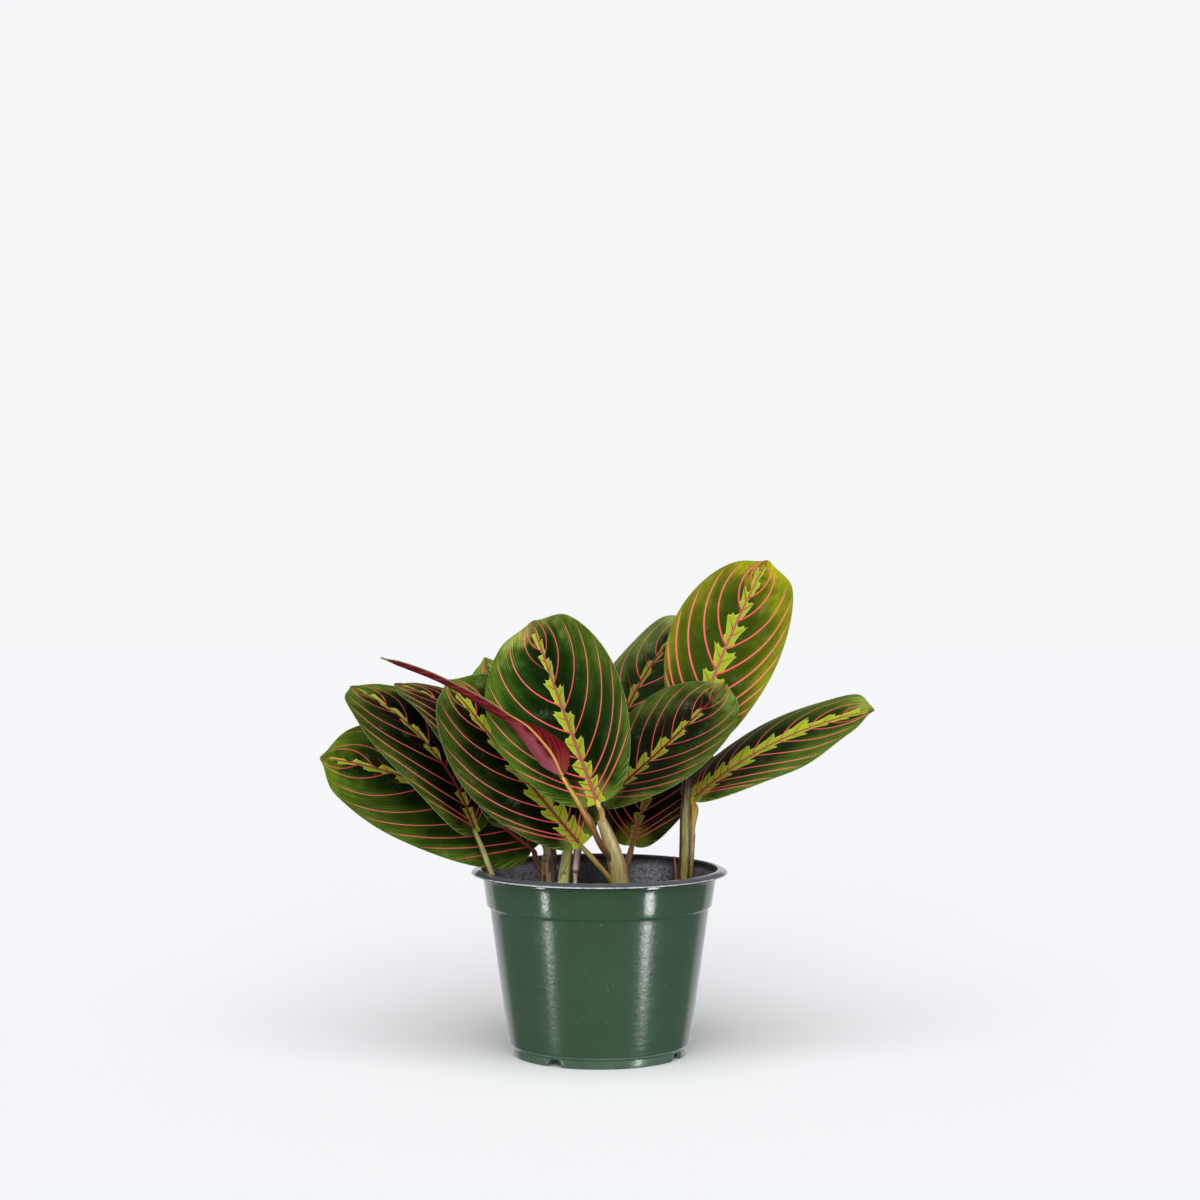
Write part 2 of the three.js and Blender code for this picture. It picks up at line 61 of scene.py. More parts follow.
# Each open leaf has the same base, length, turns, lift and curl as its solid. Its colours are
# those beside the midrib, of the blade, near the margin and at the tip, and halves says how
# much darker its left and right halves are near the margin. feather is how far the pale figure
# reaches out on each side of the midrib, join how wide it stays between its lobes, and muted how
# dull it is. It ends where fade says, as part of the midrib, and is missing between the two
# parts that bare gives. bold is how wide the main veins are, and aged how dusky the midrib is.
# glow says how yellow the blade is round its base, and shade how much painted shade
# darkens its lower part.
# heading, rise and roll are given at its base and tip, and lift, curl and ends, which shape its
# margin, for its left and right halves.
LEAVES = {
    "leaf_01": dict(base=(-33.5, 7.5, 99), length=119, half_width=33.5, fullest=0.9,
                    heading=(170, 175), rise=(39, 6), roll=(52, 58), lift=(8, 13), curl=(-17, -17),
                    ends=(0.45, 0.5), feather=6.5, muted=0.2, aged=0.6, bare=(-0.1, 0.42),
                    glow=0.05, bold=0.76,
                    colours=("#142204", "#2c4408", "#3a560c", "#5f7812")),
    "leaf_02": dict(base=(-61, -3, 109), length=104.5, half_width=30, fullest=0.94,
                    heading=(170, 147), rise=(73, 17), roll=(30, 17), lift=(12, 5), curl=(-15, -18),
                    ends=(0.49, 0.64), feather=5, muted=0.25, aged=0.8, bare=(0.17, 0.42),
                    glow=0.15, bold=0.7,
                    colours=("#060e02", "#142604", "#2e480e", "#4a6a16")),
    "leaf_03": dict(base=(-43, 0, 113.5), length=100.5, half_width=26, fullest=0.82,
                    heading=(156, 164), rise=(85, 8), roll=(26, 16), lift=(8, 0), curl=(-12, -19),
                    ends=(0.45, 0.67), feather=4.5, muted=0.4, aged=0.6,
                    colours=("#060c02", "#101c06", "#243814", "#4a6028")),
    "leaf_04": dict(base=(-9, -12.5, 103.5), length=107, half_width=35.5, fullest=0.99,
                    heading=(164, 160), rise=(48, 49), roll=(48, 44), lift=(20, 24), curl=(-4, -7),
                    ends=(0.6, 0.55), feather=9, join=0.3, aged=0.7, bold=0.88,
                    colours=("#060e02", "#122204", "#2a4013", "#4b6a18")),
    "leaf_05": dict(base=(-1, -25, 125.5), length=103, half_width=37, fullest=1,
                    heading=(138, 118), rise=(63, 53), roll=(48, 40), lift=(14, 28), curl=(-3, 4),
                    ends=(0.53, 0.46), feather=6.5, muted=0.06, aged=0.25, halves=(1, 0.86),
                    colours=("#0e2203", "#1e4006", "#3e5e12", "#94984a")),
    "leaf_07": dict(base=(5, 23, 140.5), length=91, half_width=27.5, fullest=0.86,
                    heading=(53, 18), rise=(69, 40), roll=(-18, -38), lift=(3, -1), curl=(-44, -26),
                    ends=(0.35, 0.56), feather=4.2, muted=0.85, aged=0.9, bold=0.76,
                    colours=("#1c2c10", "#48602a", "#687a3e", "#7d8c50")),
    # leaf_08's bright yellow-green is partly its own, as a young leaf, and partly painted light that
    # shines through it.
    "leaf_08": dict(base=(46.5, 22, 152.5), length=103.5, half_width=30, fullest=1.05,
                    heading=(35, 33), rise=(68, 56), roll=(-40, -42), lift=(25, 12), curl=(-5, -1),
                    ends=(0.61, 0.36), feather=10.2, halves=(0.72, 1), bold=1.35, shade=0.5,
                    colours=("#384c06", "#566404", "#868a0a", "#a6a214")),
    "leaf_09": dict(base=(3, 6, 124.5), length=86, half_width=28.5, fullest=0.87,
                    heading=(-10, 36), rise=(42, 41), roll=(-34, -41), lift=(14, 11), curl=(-8, -9),
                    ends=(0.7, 0.5), feather=6.8, muted=0.6, fade=0.8, aged=1, bold=0.62,
                    colours=("#141c08", "#222f0d", "#3c5317", "#688434")),
    "leaf_10": dict(base=(46.5, 15.5, 123.5), length=104, half_width=30.5, fullest=0.92,
                    heading=(16, -19), rise=(41, 11), roll=(-19, -40), lift=(6, 10), curl=(-41, -16),
                    ends=(0.42, 0.59), feather=11, join=0.42, aged=0.4, halves=(1, 0.8),
                    colours=("#1a2808", "#365215", "#527022", "#809a30")),
    # leaf_11's very dark colours are painted shade, for it stands in shadow at the back of the
    # plant.
    "leaf_11": dict(base=(16.5, 27.5, 99), length=83, half_width=27.5, fullest=0.89,
                    heading=(50, 61), rise=(70, 13), roll=(-7, -17), lift=(7, 10), curl=(-15, -14),
                    ends=(0.59, 0.53), feather=4.5, muted=0.5, aged=0.15, bold=0.75,
                    colours=("#040c02", "#0a1802", "#122406", "#1e340a")),
    "leaf_12": dict(base=(-12.5, 24, 119.5), length=93, half_width=26, fullest=0.88,
                    heading=(142, 153), rise=(45, 61), roll=(34, 26), lift=(-2, 6), curl=(-22, -14),
                    ends=(0.47, 0.57), feather=5, aged=0.3,
                    colours=("#1a2e0c", "#3a5e18", "#577c26", "#759a38")),
}

# How the flat outline of every blade is shaped, as in the solids: how far its lobes reach back
# beside the stalk, how much its tip narrows and over which part of its length, and how many
# waves its margin has and how high they are.
LOBE = 9
PINCH = 0.68
PINCH_LENGTH = 0.045
WAVE_COUNT = 2.5
WAVE = 1.1
# Thickness of a blade. Its solid is 0.7 mm thick.
BLADE = 0.42
# Steps of the grid of each half blade, from base to tip and from midrib to margin.
BLADE_ROWS = 190
BLADE_COLUMNS = 30

# Where the main side veins leave the midrib, as parts of its length, on the right half. On the
# left half they leave further on by LEFT_FURTHER, so they alternate, and each strays a little.
VEIN_ROOTS = (0.022, 0.055, 0.12, 0.213, 0.34, 0.478, 0.64, 0.77, 0.885)
LEFT_FURTHER = 1.07
VEIN_STRAY = 0.006
# The curve of tau, from 0 to 1, leaves the midrib at tau to this power.
ROOT_POWER = 1.6
# Fine pale lines from one main vein to the next.
FINE_LINES = 8
# What the points of a blade tell its skins: the mm to the edge of the figure, of a main vein, of
# a short middle vein and of the midrib, all less than 0 inside, the mm to the margin, and from 0
# to 1 how far out it lies, how dull its figure and how dusky its midrib is.
LEAF_VALUES = ("feather", "vein", "tick", "rib", "margin", "outer", "muted", "aged")
# One lobe of the pale figure between two main veins: how far out it reaches at each part of
# the way from one vein to the next. It has a tooth on each side of the middle one.
TOOTH_AT = (0, 0.08, 0.12, 0.2, 0.31, 0.42, 0.5, 0.53, 0.6, 0.67, 0.7, 0.8, 0.9, 1)
TOOTH_OUT = (0.3, 0.6, 0.46, 0.52, 0.66, 0.88, 1.14, 0.86, 0.74, 0.84, 0.46, 0.22, 0.12, 0.1)
# The lobes of the lower part of a blade are rounder.
ROUND_OUT = (0.3, 0.5, 0.56, 0.7, 0.84, 0.92, 1.0, 0.96, 0.92, 0.84, 0.62, 0.4, 0.26, 0.2)

# The rolled leaf, whose inner margin lies overlap_step inside the outer one. Each station gives
# the part along it, the radius of the roll, the angle it wraps round and how far its midrib is
# turned up, in degrees.
ROLLED = dict(base=(-17.5, -42, 139.5), length=115.5, heading=(144, 167), rise=(43, 15),
              overlap_step=1.6)
ROLLED_STATIONS = np.array([
    (0, 2.4, 110, 25), (0.02, 5, 130, 26), (0.06, 7.2, 145, 28), (0.12, 8.1, 150, 30),
    (0.19, 7.5, 160, 34), (0.26, 5.6, 190, 44), (0.31, 3.8, 250, 56), (0.37, 2.4, 330, 66),
    (0.47, 2.6, 345, 74), (0.55, 2.2, 370, 78), (0.64, 1.75, 390, 80), (0.76, 1.7, 390, 82),
    (0.87, 1.5, 380, 84), (0.94, 1.1, 340, 86), (0.97, 0.6, 300, 90), (1, 0.5, 280, 100)])
# The axis of the roll lies this far to the right of the spine, at each part of its length.
ROLL_CENTRE = (np.array([0, 0.08, 0.22, 0.38, 0.54, 0.76, 1]),
               np.array([1.2, 6, 7.6, 5.6, 3.5, 2.8, 0.8]))

# ------------------------------------------------------------------ the shoots

# Each stalk is a tube through its points (x, y, z, radius), and ends just under the leaf that
# it carries. colours run from its foot to its top, at the stops if it has any. lines are stripes
# along it: the direction each faces in degrees round the stalk, how wide it is and its colour.
# rings are the height of each, how wide it is and its colour. sheath is the height at which the
# leaf sheath round its foot opens, and how thick the sheath is.
SHOOTS = {
    "shoot_1": [
        dict(carries="leaf_03", colours=("#86754e", "#a89870", "#a89a70", "#8d8a52"),
             lines=((208, 60, "#98a030"), (338, 60, "#4a2226"), (256, 26, "#a8806a"),
                    (234, 12, "#2c1c12"), (274, 14, "#2a2014"), (302, 40, "#2e1c14")),
             sheath=(98, 0.5),
             points=[(-25, 4.5, 61, 4), (-25, 5, 77, 4), (-25, 5.5, 91, 3.9),
                     (-25.5, 6, 101, 3.4), (-31, 5, 107, 2.4), (-38, 2, 110, 1.9)]),
        dict(carries="leaf_01", colours=("#8d7350", "#7a5a40", "#5a2a24", "#6b2a28"),
             points=[(-25.5, 5.5, 78, 1.6), (-28.5, 6.5, 88, 1.6), (-31.5, 7.5, 93, 1.5)]),
    ],
    "shoot_2": [
        dict(carries="leaf_02", colours=("#aca468", "#b0a86c", "#a8a058", "#98a040"),
             lines=((215, 60, "#6b5a34"),),
             points=[(-46, -6, 61, 1.9), (-50.5, -6.5, 79, 1.8), (-53, -7, 88, 1.6),
                     (-56.8, -7, 99, 1.4)]),
    ],
    "shoot_3": [
        dict(carries="leaf_12", colours=("#d2d87c", "#ccd278", "#b0ba68", "#8fa35c"),
             lines=((202, 34, "#f4f4e6"), (338, 50, "#8c9a44")),
             points=[(-19, 1, 61, 3.2), (-18.5, 1.5, 77, 3.1), (-17.6, 3, 86, 2.9),
                     (-15.8, 7, 98, 2.4), (-14, 13, 108.5, 2)]),
        dict(colours=("#3a1a1c", "#4a2024", "#54282a", "#6a4038"),
             points=[(-19, 9.5, 70, 1.4), (-19.4, 10.3, 82, 1.4), (-18.6, 11.2, 91.5, 1.4),
                     (-16.8, 12, 99, 1.3), (-14.2, 13, 108, 1.2)]),
    ],
    "shoot_4": [
        dict(carries="leaf_07", colours=("#e6ccc0", "#dcb8ac", "#a89080", "#8a7a58"),
             rings=((88.7, 0.8, "#2a160e"),),
             # Its pale line at 262 degrees, which faces the front, is a painted highlight.
             lines=((332, 60, "#5c2c26"), (212, 40, "#4a2c20"), (262, 24, "#e8dcd4")),
             points=[(-12, 2, 61, 1.5), (-12, 2, 78, 1.45), (-12, 2.2, 87, 1.4),
                     (-12, 2.3, 88, 2.1), (-12, 2.4, 89.2, 2.1), (-11.9, 2.6, 90.2, 1.95),
                     (-11, 5, 98, 2), (-7.5, 10.5, 109, 1.7), (-2, 16.5, 124, 1.5)]),
    ],
    "shoot_5": [
        dict(colours=("#aea466", "#b8aa6c", "#bdae74", "#c8b27c"),
             lines=((202, 40, "#a0665a"), (343, 54, "#a8745c")),
             points=[(15.5, -7.5, 61, 4.8), (12.1, -9, 78.7, 4.8), (10.3, -10, 84.7, 4.7),
                     (8.1, -13, 95.4, 4.3), (4.8, -16, 106.6, 3.5), (1.5, -18.2, 115.3, 2.5),
                     (0.6, -18.8, 117.4, 2.3)]),
        dict(carries="leaf_05", colours=("#c08a50", "#cc9c60", "#dcae6c", "#d8a860"),
             lines=((212, 40, "#a06838"),),
             points=[(3.5, -17.5, 110, 1.5), (1.4, -19.6, 117, 1.5), (0.9, -21.6, 121, 1.5)]),
        dict(carries="leaf_04", colours=("#86703a", "#8f803e", "#948840", "#a8903c"),
             lines=((318, 60, "#b8743a"), (236, 50, "#7d8a34")),
             points=[(7.5, -11.5, 80, 1.5), (6.4, -12.5, 85, 1.4), (1.8, -14.5, 91.5, 1.25),
                     (-3, -14, 97, 1.4)]),
        dict(carries="leaf_06", colours=("#4a2a1a", "#784830", "#b47e3e", "#dcac34"),
             stops=(0, 0.4, 0.7, 0.95),
             lines=((212, 50, "#4a2420"), (330, 50, "#5f4a24")),
             points=[(10, -10.5, 86, 1.2), (7.6, -13, 92, 1.3), (5.2, -16, 97.5, 1.5),
                     (0.9, -22.5, 104.5, 1.5),
                     (-3.6, -31, 115, 1.5), (-5, -33.5, 118, 1.9), (-8.5, -36.5, 124, 1.35),
                     (-13.6, -40, 133, 1.3)]),
        dict(carries="leaf_09", colours=("#5a5a38", "#4a4a28", "#3a4422", "#3a4a20"),
             points=[(4.4, -14, 104, 1.8), (2.5, -6, 110, 1.6), (1.2, 1.5, 115.5, 1.5),
                     (1.8, 6.3, 120, 1.4)]),
    ],
    "shoot_6": [
        dict(carries="leaf_11", colours=("#7a5434", "#8c683c", "#8c6a3c", "#7a5a34"),
             lines=((212, 60, "#5a3028"),),
             points=[(7, 11, 61, 2.2), (9.5, 15, 77, 2.1), (12.9, 22, 88, 1.8),
                     (15.3, 26, 94, 1.6)]),
    ],
    "shoot_7": [
        dict(carries="leaf_08", colours=("#8c8844", "#908c48", "#4c2420", "#40141a"),
             stops=(0, 0.52, 0.62, 1),
             lines=((206, 66, "#4a1620"), (322, 56, "#2a200c"), (262, 14, "#7c8440")),
             sheath=(118, 0.4),
             points=[(41.3, 7, 61, 2.6), (42, 7, 80, 2.7), (42.6, 6.5, 101, 2.8),
                     (42.8, 5.6, 118, 2.65), (43.5, 7, 131, 2.45), (45.2, 14, 143, 2)]),
        dict(carries="leaf_10", colours=("#74582e", "#8a6c38", "#ba9234", "#e0a70e"),
             lines=((345, 50, "#7a4238"), (214, 44, "#6f5a2c")), sheath=(108, 0.35),
             points=[(44.2, 9, 61, 2), (44.6, 9, 79, 2), (45.8, 9.3, 101, 1.8),
                     (46.4, 10.2, 111, 2), (47.3, 11.6, 116.5, 2.3), (47.3, 13, 119.5, 2.2)]),
    ],
    "dry_strand": [
        dict(colours=("#5a3020", "#8a5430", "#9c6840", "#6a4028"),
             points=[(39, 3, 70, 0.6), (38.1, 3.4, 84.5, 0.6), (37.8, 3.6, 90.5, 0.5),
                     (37.1, 4, 96.5, 0.4)]),
    ],
}
SHOOT_SLOTS = {"shoot_1": "brown_stalk", "shoot_4": "brown_stalk", "shoot_6": "brown_stalk",
               "dry_strand": "dry_matter"}
# The end of a stalk: its radius, and how far it lies past the leaf's base and under it.
STALK_TOP = dict(radius=0.75, past=1.8, under=0.45)
# The height from which a stalk shows over the soil.
STALK_SEEN = 76

# ------------------------------------------------------------------ the pot and the soil

# Sizes of the pot, as in its solid. The band round its top starts at band_height.
POT = dict(height=91, rim=63.5, crest=60, mouth=58.5, lip=2.2, neck_radius=59.3, neck=2.2,
           band_top=57.7, band_bottom=55.7, band_height=72.8, wall_top=54.2, wall_bottom=45,
           foot_radius=43.3, foot=4.2, wall=1.3, floor=1.4, ledge=4.6, pad=9)
# The drain notches in its foot ring: how many, the direction of the first, how wide they are at
# the bottom and at the top, and how high.
NOTCHES = dict(count=4, first=-120, bottom=9, top=4.6, height=3.5)
# The soil's level, how high its mound rises and in which direction, the gap between it and the
# wall, and how high its small waves are.
SOIL = dict(level=74.5, rise=9, angle=16, gap=0.4, crumb=0.5)


# ------------------------------------------------------------------ small tools

def linear(code):
    """Linear RGBA of an sRGB hex colour, by the sRGB curve."""
    parts = [int(code[i:i + 2], 16) / 255 for i in (1, 3, 5)]
    return [*(c / 12.92 if c <= 0.04045 else ((c + 0.055) / 1.055) ** 2.4 for c in parts), 1.0]


def ramp(x, low, high):
    """0 below low, 1 above high, and 3t^2 - 2t^3 between them. low may be the larger."""
    t = np.clip((np.asarray(x, float) - low) / (high - low), 0, 1)
    return t * t * (3 - 2 * t)


def mix(a, b, t):
    """a where t is 0, b where t is 1, for colours or places along the last axis."""
    t = np.asarray(t, float)[..., None]
    return np.asarray(a, float) * (1 - t) + np.asarray(b, float) * t


def lumps(points, size, seed, octaves=3):
    """Smooth noise from -1 to 1: sines in random directions, each octave half as large and
    half as strong as the one before."""
    rng = np.random.default_rng(seed)
    points = np.asarray(points, float)
    total = np.zeros(points.shape[:-1])
    for octave in range(octaves):
        waves = rng.normal(size=(7, points.shape[-1]))
        waves *= 2 * math.pi * 2 ** octave / (size * np.linalg.norm(waves, axis=1)[:, None])
        phase = rng.uniform(0, 2 * math.pi, 7)
        total += np.sin(points @ waves.T + phase).sum(-1) / 7 ** 0.5 / 2 ** octave
    return np.clip(total / 1.4, -1, 1)


def add(tree, kind, inputs=(), **settings):
    """Adds a node to a tree. inputs gives a value or a link for each socket."""
    made = tree.nodes.new(kind)
    for name, value in settings.items():
        setattr(made, name, value)
    for socket, value in dict(inputs).items():
        if isinstance(value, bpy.types.NodeSocket):
            tree.links.new(value, made.inputs[socket])
        else:
            made.inputs[socket].default_value = value
    return made


def blend(tree, factor, first, second):
    """The first colour where factor is 0 and the second where it is 1."""
    return add(tree, "ShaderNodeMix", {0: factor, 6: first, 7: second},
               data_type="RGBA").outputs[2]


def remap(tree, value, low, high, to_low=0.0, to_high=1.0):
    """A value spread evenly from low..high to to_low..to_high, and held at both ends. low may
    be the larger."""
    return add(tree, "ShaderNodeMapRange", {
        "Value": value, "From Min": low, "From Max": high, "To Min": to_low,
        "To Max": to_high}).outputs[0]


def maths(tree, operation, *values):
    """What a Math node makes of the values."""
    return add(tree, "ShaderNodeMath", enumerate(values), operation=operation).outputs[0]


def scaled(tree, colour, factor):
    """A colour times a factor."""
    return add(tree, "ShaderNodeVectorMath", {0: colour, 3: factor},
               operation="SCALE").outputs[0]


def noise(tree, where, scale, detail=2.0, roughness=0.5):
    """Cloudy noise from 0 to 1. scale says how many of its cells lie in a metre of the object,
    or in one unit of a stretched chart."""
    return add(tree, "ShaderNodeTexNoise", {
        "Vector": where, "Scale": scale, "Detail": detail, "Roughness": roughness}).outputs[0]


def stretched(tree, where, scale):
    """Places times a scale along each axis."""
    return add(tree, "ShaderNodeMapping", {"Vector": where, "Scale": scale}).outputs[0]


def attribute(tree, name, output="Fac"):
    """A value of the mesh, or its colour."""
    return add(tree, "ShaderNodeAttribute", attribute_name=name).outputs[output]


def chart(tree, name):
    """Places on a UV map of the mesh."""
    return add(tree, "ShaderNodeUVMap", uv_map=name).outputs["UV"]


def object_place(tree):
    """Places in the object's own frame, in metres."""
    return add(tree, "ShaderNodeTexCoord").outputs["Object"]


def bump(tree, height, strength, depth, under=None):
    """A normal tilted by a height, whose full range is depth millimetres, over another bump."""
    inputs = {"Height": height, "Strength": strength, "Distance": depth * MM}
    if under is not None:
        inputs["Normal"] = under
    return add(tree, "ShaderNodeBump", inputs).outputs[0]


def plug(tree, shader, outputs):
    """Links each output to the shader's socket of that name."""
    for socket, output in outputs.items():
        tree.links.new(output, shader.inputs[socket])


def new_material(name, settings):
    """A material with a Principled BSDF, whose sockets are set as settings say."""
    material = bpy.data.materials.new(name)
    material.use_nodes = True
    tree = material.node_tree
    shader = tree.nodes["Principled BSDF"]
    for socket, value in settings.items():
        shader.inputs[socket].default_value = value
    return material, tree, shader


def quads(index):
    """Faces of a grid of vertex numbers, in the turn that goes along a row and then on."""
    a, b = index[:-1], index[1:]
    return np.stack([a[:, :-1], a[:, 1:], b[:, 1:], b[:, :-1]], -1).reshape(-1, 4)


def tube(count, sides):
    """Faces of a tube of count rings, and of the caps at its first and last ring. Each cap is a
    fan round one more point, and these two points come after those of the rings."""
    index = np.arange(count * sides).reshape(count, sides)
    index = np.concatenate([index, index[:, :1]], 1)
    first, last = (np.full(sides + 1, count * sides + k) for k in (0, 1))
    caps = np.concatenate([quads(np.stack([first, index[0]])),
                           quads(np.stack([index[-1], last]))])
    return quads(index), caps


def edge_loop(index):
    """The vertex numbers round a grid, back to the first one, without those that repeat."""
    loop = np.concatenate([index[0, :-1], index[:-1, -1], index[-1, :0:-1], index[::-1, 0]])
    return loop[np.concatenate([[True], loop[1:] != loop[:-1]])]


def triangles(faces):
    """Each face with four corners as two triangles, without those of no size."""
    split = np.concatenate([faces[:, [0, 1, 2]], faces[:, [0, 2, 3]]])
    a, b, c = split.T
    return split[(a != b) & (b != c) & (c != a)]


def make_piece(name, points, faces, materials, face_material=None, floats=(), colours=(),
               maps=(), sharp=None):
    """A mesh object from points in millimetres, with values, colours and UV maps per point."""
    mesh = bpy.data.meshes.new(name)
    faces = np.asarray(faces)
    mesh.vertices.add(len(points))
    mesh.vertices.foreach_set("co", (np.asarray(points, float) * MM).ravel())
    sides = faces.shape[1]
    mesh.loops.add(faces.size)
    mesh.loops.foreach_set("vertex_index", faces.ravel())
    mesh.polygons.add(len(faces))
    mesh.polygons.foreach_set("loop_start", np.arange(len(faces)) * sides)
    if face_material is not None:
        mesh.polygons.foreach_set("material_index", np.asarray(face_material, np.int32))
    for key, values in dict(floats).items():
        layer = mesh.attributes.new(key, "FLOAT", "POINT")
        layer.data.foreach_set("value", np.asarray(values, np.float32).ravel())
    for key, values in dict(colours).items():
        layer = mesh.attributes.new(key, "FLOAT_COLOR", "POINT")
        four = np.concatenate([values[:, :3], np.ones((len(values), 1))], 1)
        layer.data.foreach_set("color", four.astype(np.float32).ravel())
    for key, values in dict(maps).items():
        layer = mesh.uv_layers.new(name=key)
        layer.uv.foreach_set("vector", np.asarray(values, np.float32)[faces.ravel()].ravel())
    mesh.update(calc_edges=True)
    mesh.validate()
    mesh.shade_smooth()
    if sharp is not None:
        mesh.set_sharp_from_angle(angle=math.radians(sharp))
    piece = bpy.data.objects.new(name, mesh)
    bpy.context.scene.collection.objects.link(piece)
    for material in materials:
        mesh.materials.append(material)
    return piece


def add_object(name, data, place, turns):
    """A light or a camera in the scene, at a place in metres and turned by three angles."""
    made = bpy.data.objects.new(name, data)
    bpy.context.scene.collection.objects.link(made)
    made.location, made.rotation_euler = place, turns
    return made


def seat(piece, slot, *nodes):
    """Rides a finished piece on the plant and hides the solids it stands for. slot is not used."""
    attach(piece, "root")
    if nodes:
        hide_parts(*nodes)
    return piece


# ------------------------------------------------------------------ the plant's skins

def leaf_upper(look):
    """Upper skin of a living prayer plant leaf: a thin waxy cuticle over green tissue.

    To the eye: a satin gloss, fine paler lines that run with the side veins, coral veins that
    darken to crimson beside the midrib, and a pale yellow-green figure with toothed edges.
    """
    material, tree, shader = new_material(
        "Maranta leaf, upper skin", {
            "IOR": 1.42, "Roughness": 0.42, "Specular IOR Level": 0.05})
    read = {key: attribute(tree, key) for key in LEAF_VALUES}
    tint = attribute(tree, "tint", "Color")
    lines = chart(tree, "veins")
    split = add(tree, "ShaderNodeSeparateXYZ", {0: lines})
    place = object_place(tree)

    # Fine lines beside the veins, about 1.2 mm apart. They are the folds of a triangle wave
    # over the vein number, and fade in and out along the vein.
    streaks = noise(tree, stretched(tree, lines, (5, 0.05, 1)), 1.0, 4.0, 0.65)
    wave = maths(tree, "MULTIPLY", split.outputs["X"], FINE_LINES)
    wave = maths(tree, "PINGPONG", maths(tree, "ADD", wave, streaks), 0.5)
    paler = maths(tree, "MULTIPLY", remap(tree, streaks, 0.4, 0.68, 0.2),
                  remap(tree, wave, 0.16, 0.38))
    paler = maths(tree, "MULTIPLY", paler, read["outer"])
    lit = blend(tree, 0.3, scaled(tree, tint, 1.9), look.streak[:])
    base = blend(tree, paler, scaled(tree, tint, 0.86), lit)
    # Cells of the skin, 0.5 mm across, coarser than life so that they show, and patches of
    # 11 mm that are a little lighter or darker.
    skin = noise(tree, place, 2000.0)
    patches = noise(tree, place, 90.0, 3.0, 0.55)
    base = scaled(tree, base, remap(tree, skin, 0.35, 0.65, 0.86, 1.14))
    base = scaled(tree, base, remap(tree, patches, 0.3, 0.7, 0.82, 1.18))

    # Marks that drops of water leave, 1 mm across, only in some patches.
    marks = maths(tree, "ADD", noise(tree, place, 800.0, 4.0, 0.7), patches)
    base = blend(tree, remap(tree, marks, 1.14, 1.34, 0.0, 0.16), base, look.marks[:])

    # The pale figure, with a soft grain and a brighter rim. Fine streaks fray its edge.
    frayed = maths(tree, "MULTIPLY_ADD", streaks, 1.3, -0.65)
    frayed = maths(tree, "ADD", read["feather"], frayed)
    grain = blend(tree, streaks, look.figure[:], look.figure_deep[:])
    grain = blend(tree, remap(tree, frayed, -0.8, -0.15, 0.0, 0.65), grain, look.figure_rim[:])
    grain = blend(tree, read["muted"], grain, look.figure_dull[:])
    base = blend(tree, remap(tree, frayed, 0.14, -0.14), base, grain)

    # Main veins and the short ones in the middle of each lobe. Away from the midrib a main
    # vein turns from crimson to coral within 6 mm, and is palest from 34 mm on.
    age = maths(tree, "DIVIDE", split.outputs["Y"], 40.0)
    age = add(tree, "ShaderNodeValToRGB", {0: age})
    stops = age.color_ramp
    stops.elements[0].color = look.vein_deep[:]
    stops.elements[1].position = 0.85
    stops.elements[1].color = look.vein_pale[:]
    stops.elements.new(0.14).color = look.vein[:]
    # On an older leaf the midrib is dusky, and the side veins a little.
    dusk = maths(tree, "MULTIPLY", read["aged"], 0.2)
    side = blend(tree, dusk, age.outputs[0], look.aged[:])
    rib = blend(tree, read["aged"], look.midrib[:], look.aged[:])
    for key, colour in (("tick", look.vein_deep[:]), ("vein", side), ("rib", rib)):
        base = blend(tree, remap(tree, read[key], 0.1, -0.12), base, colour)
    # The midrib is darker along both edges, and a thin pale line follows the margin.
    edge = maths(tree, "ABSOLUTE", maths(tree, "ADD", read["rib"], 0.08))
    base = blend(tree, remap(tree, edge, 0.2, 0.06, 0.0, 0.75), base, look.vein_deep[:])
    border = remap(tree, read["margin"], 0.45, 0.15, 0.0, 0.75)
    base = blend(tree, border, base, look.border[:])

    folds = bump(tree, wave, 0.4, 0.12)
    plug(tree, shader, {
        "Base Color": base, "Roughness": remap(tree, patches, 0.3, 0.7, 0.34, 0.5),
        "Normal": bump(tree, skin, 0.25, 0.08, folds)})
    return material


def leaf_under(look):
    """Underside of a prayer plant leaf: matt skin full of red pigment.

    To the eye: wine red and softly downy, with the veins raised and a little paler.
    """
    material, tree, shader = new_material(
        "Maranta leaf, wine-red underside",
        {"IOR": 1.42, "Roughness": 0.6, "Sheen Weight": 0.15, "Sheen Roughness": 0.5})
    streaks = noise(tree, stretched(tree, chart(tree, "veins"), (12, 0.05, 1)), 1.0, 3.0)
    wine = blend(tree, streaks, look.under[:], look.under_pale[:])
    # Some of the upper side's green shows through the blade.
    wine = blend(tree, 0.12, wine, attribute(tree, "tint", "Color"))
    for key in ("vein", "rib"):
        on = remap(tree, attribute(tree, key), 0.15, -0.12, 0.0, 0.7)
        wine = blend(tree, on, wine, look.under_vein[:])
    plug(tree, shader, {"Base Color": wine, "Normal": bump(tree, streaks, 0.5, 0.3)})
    return material


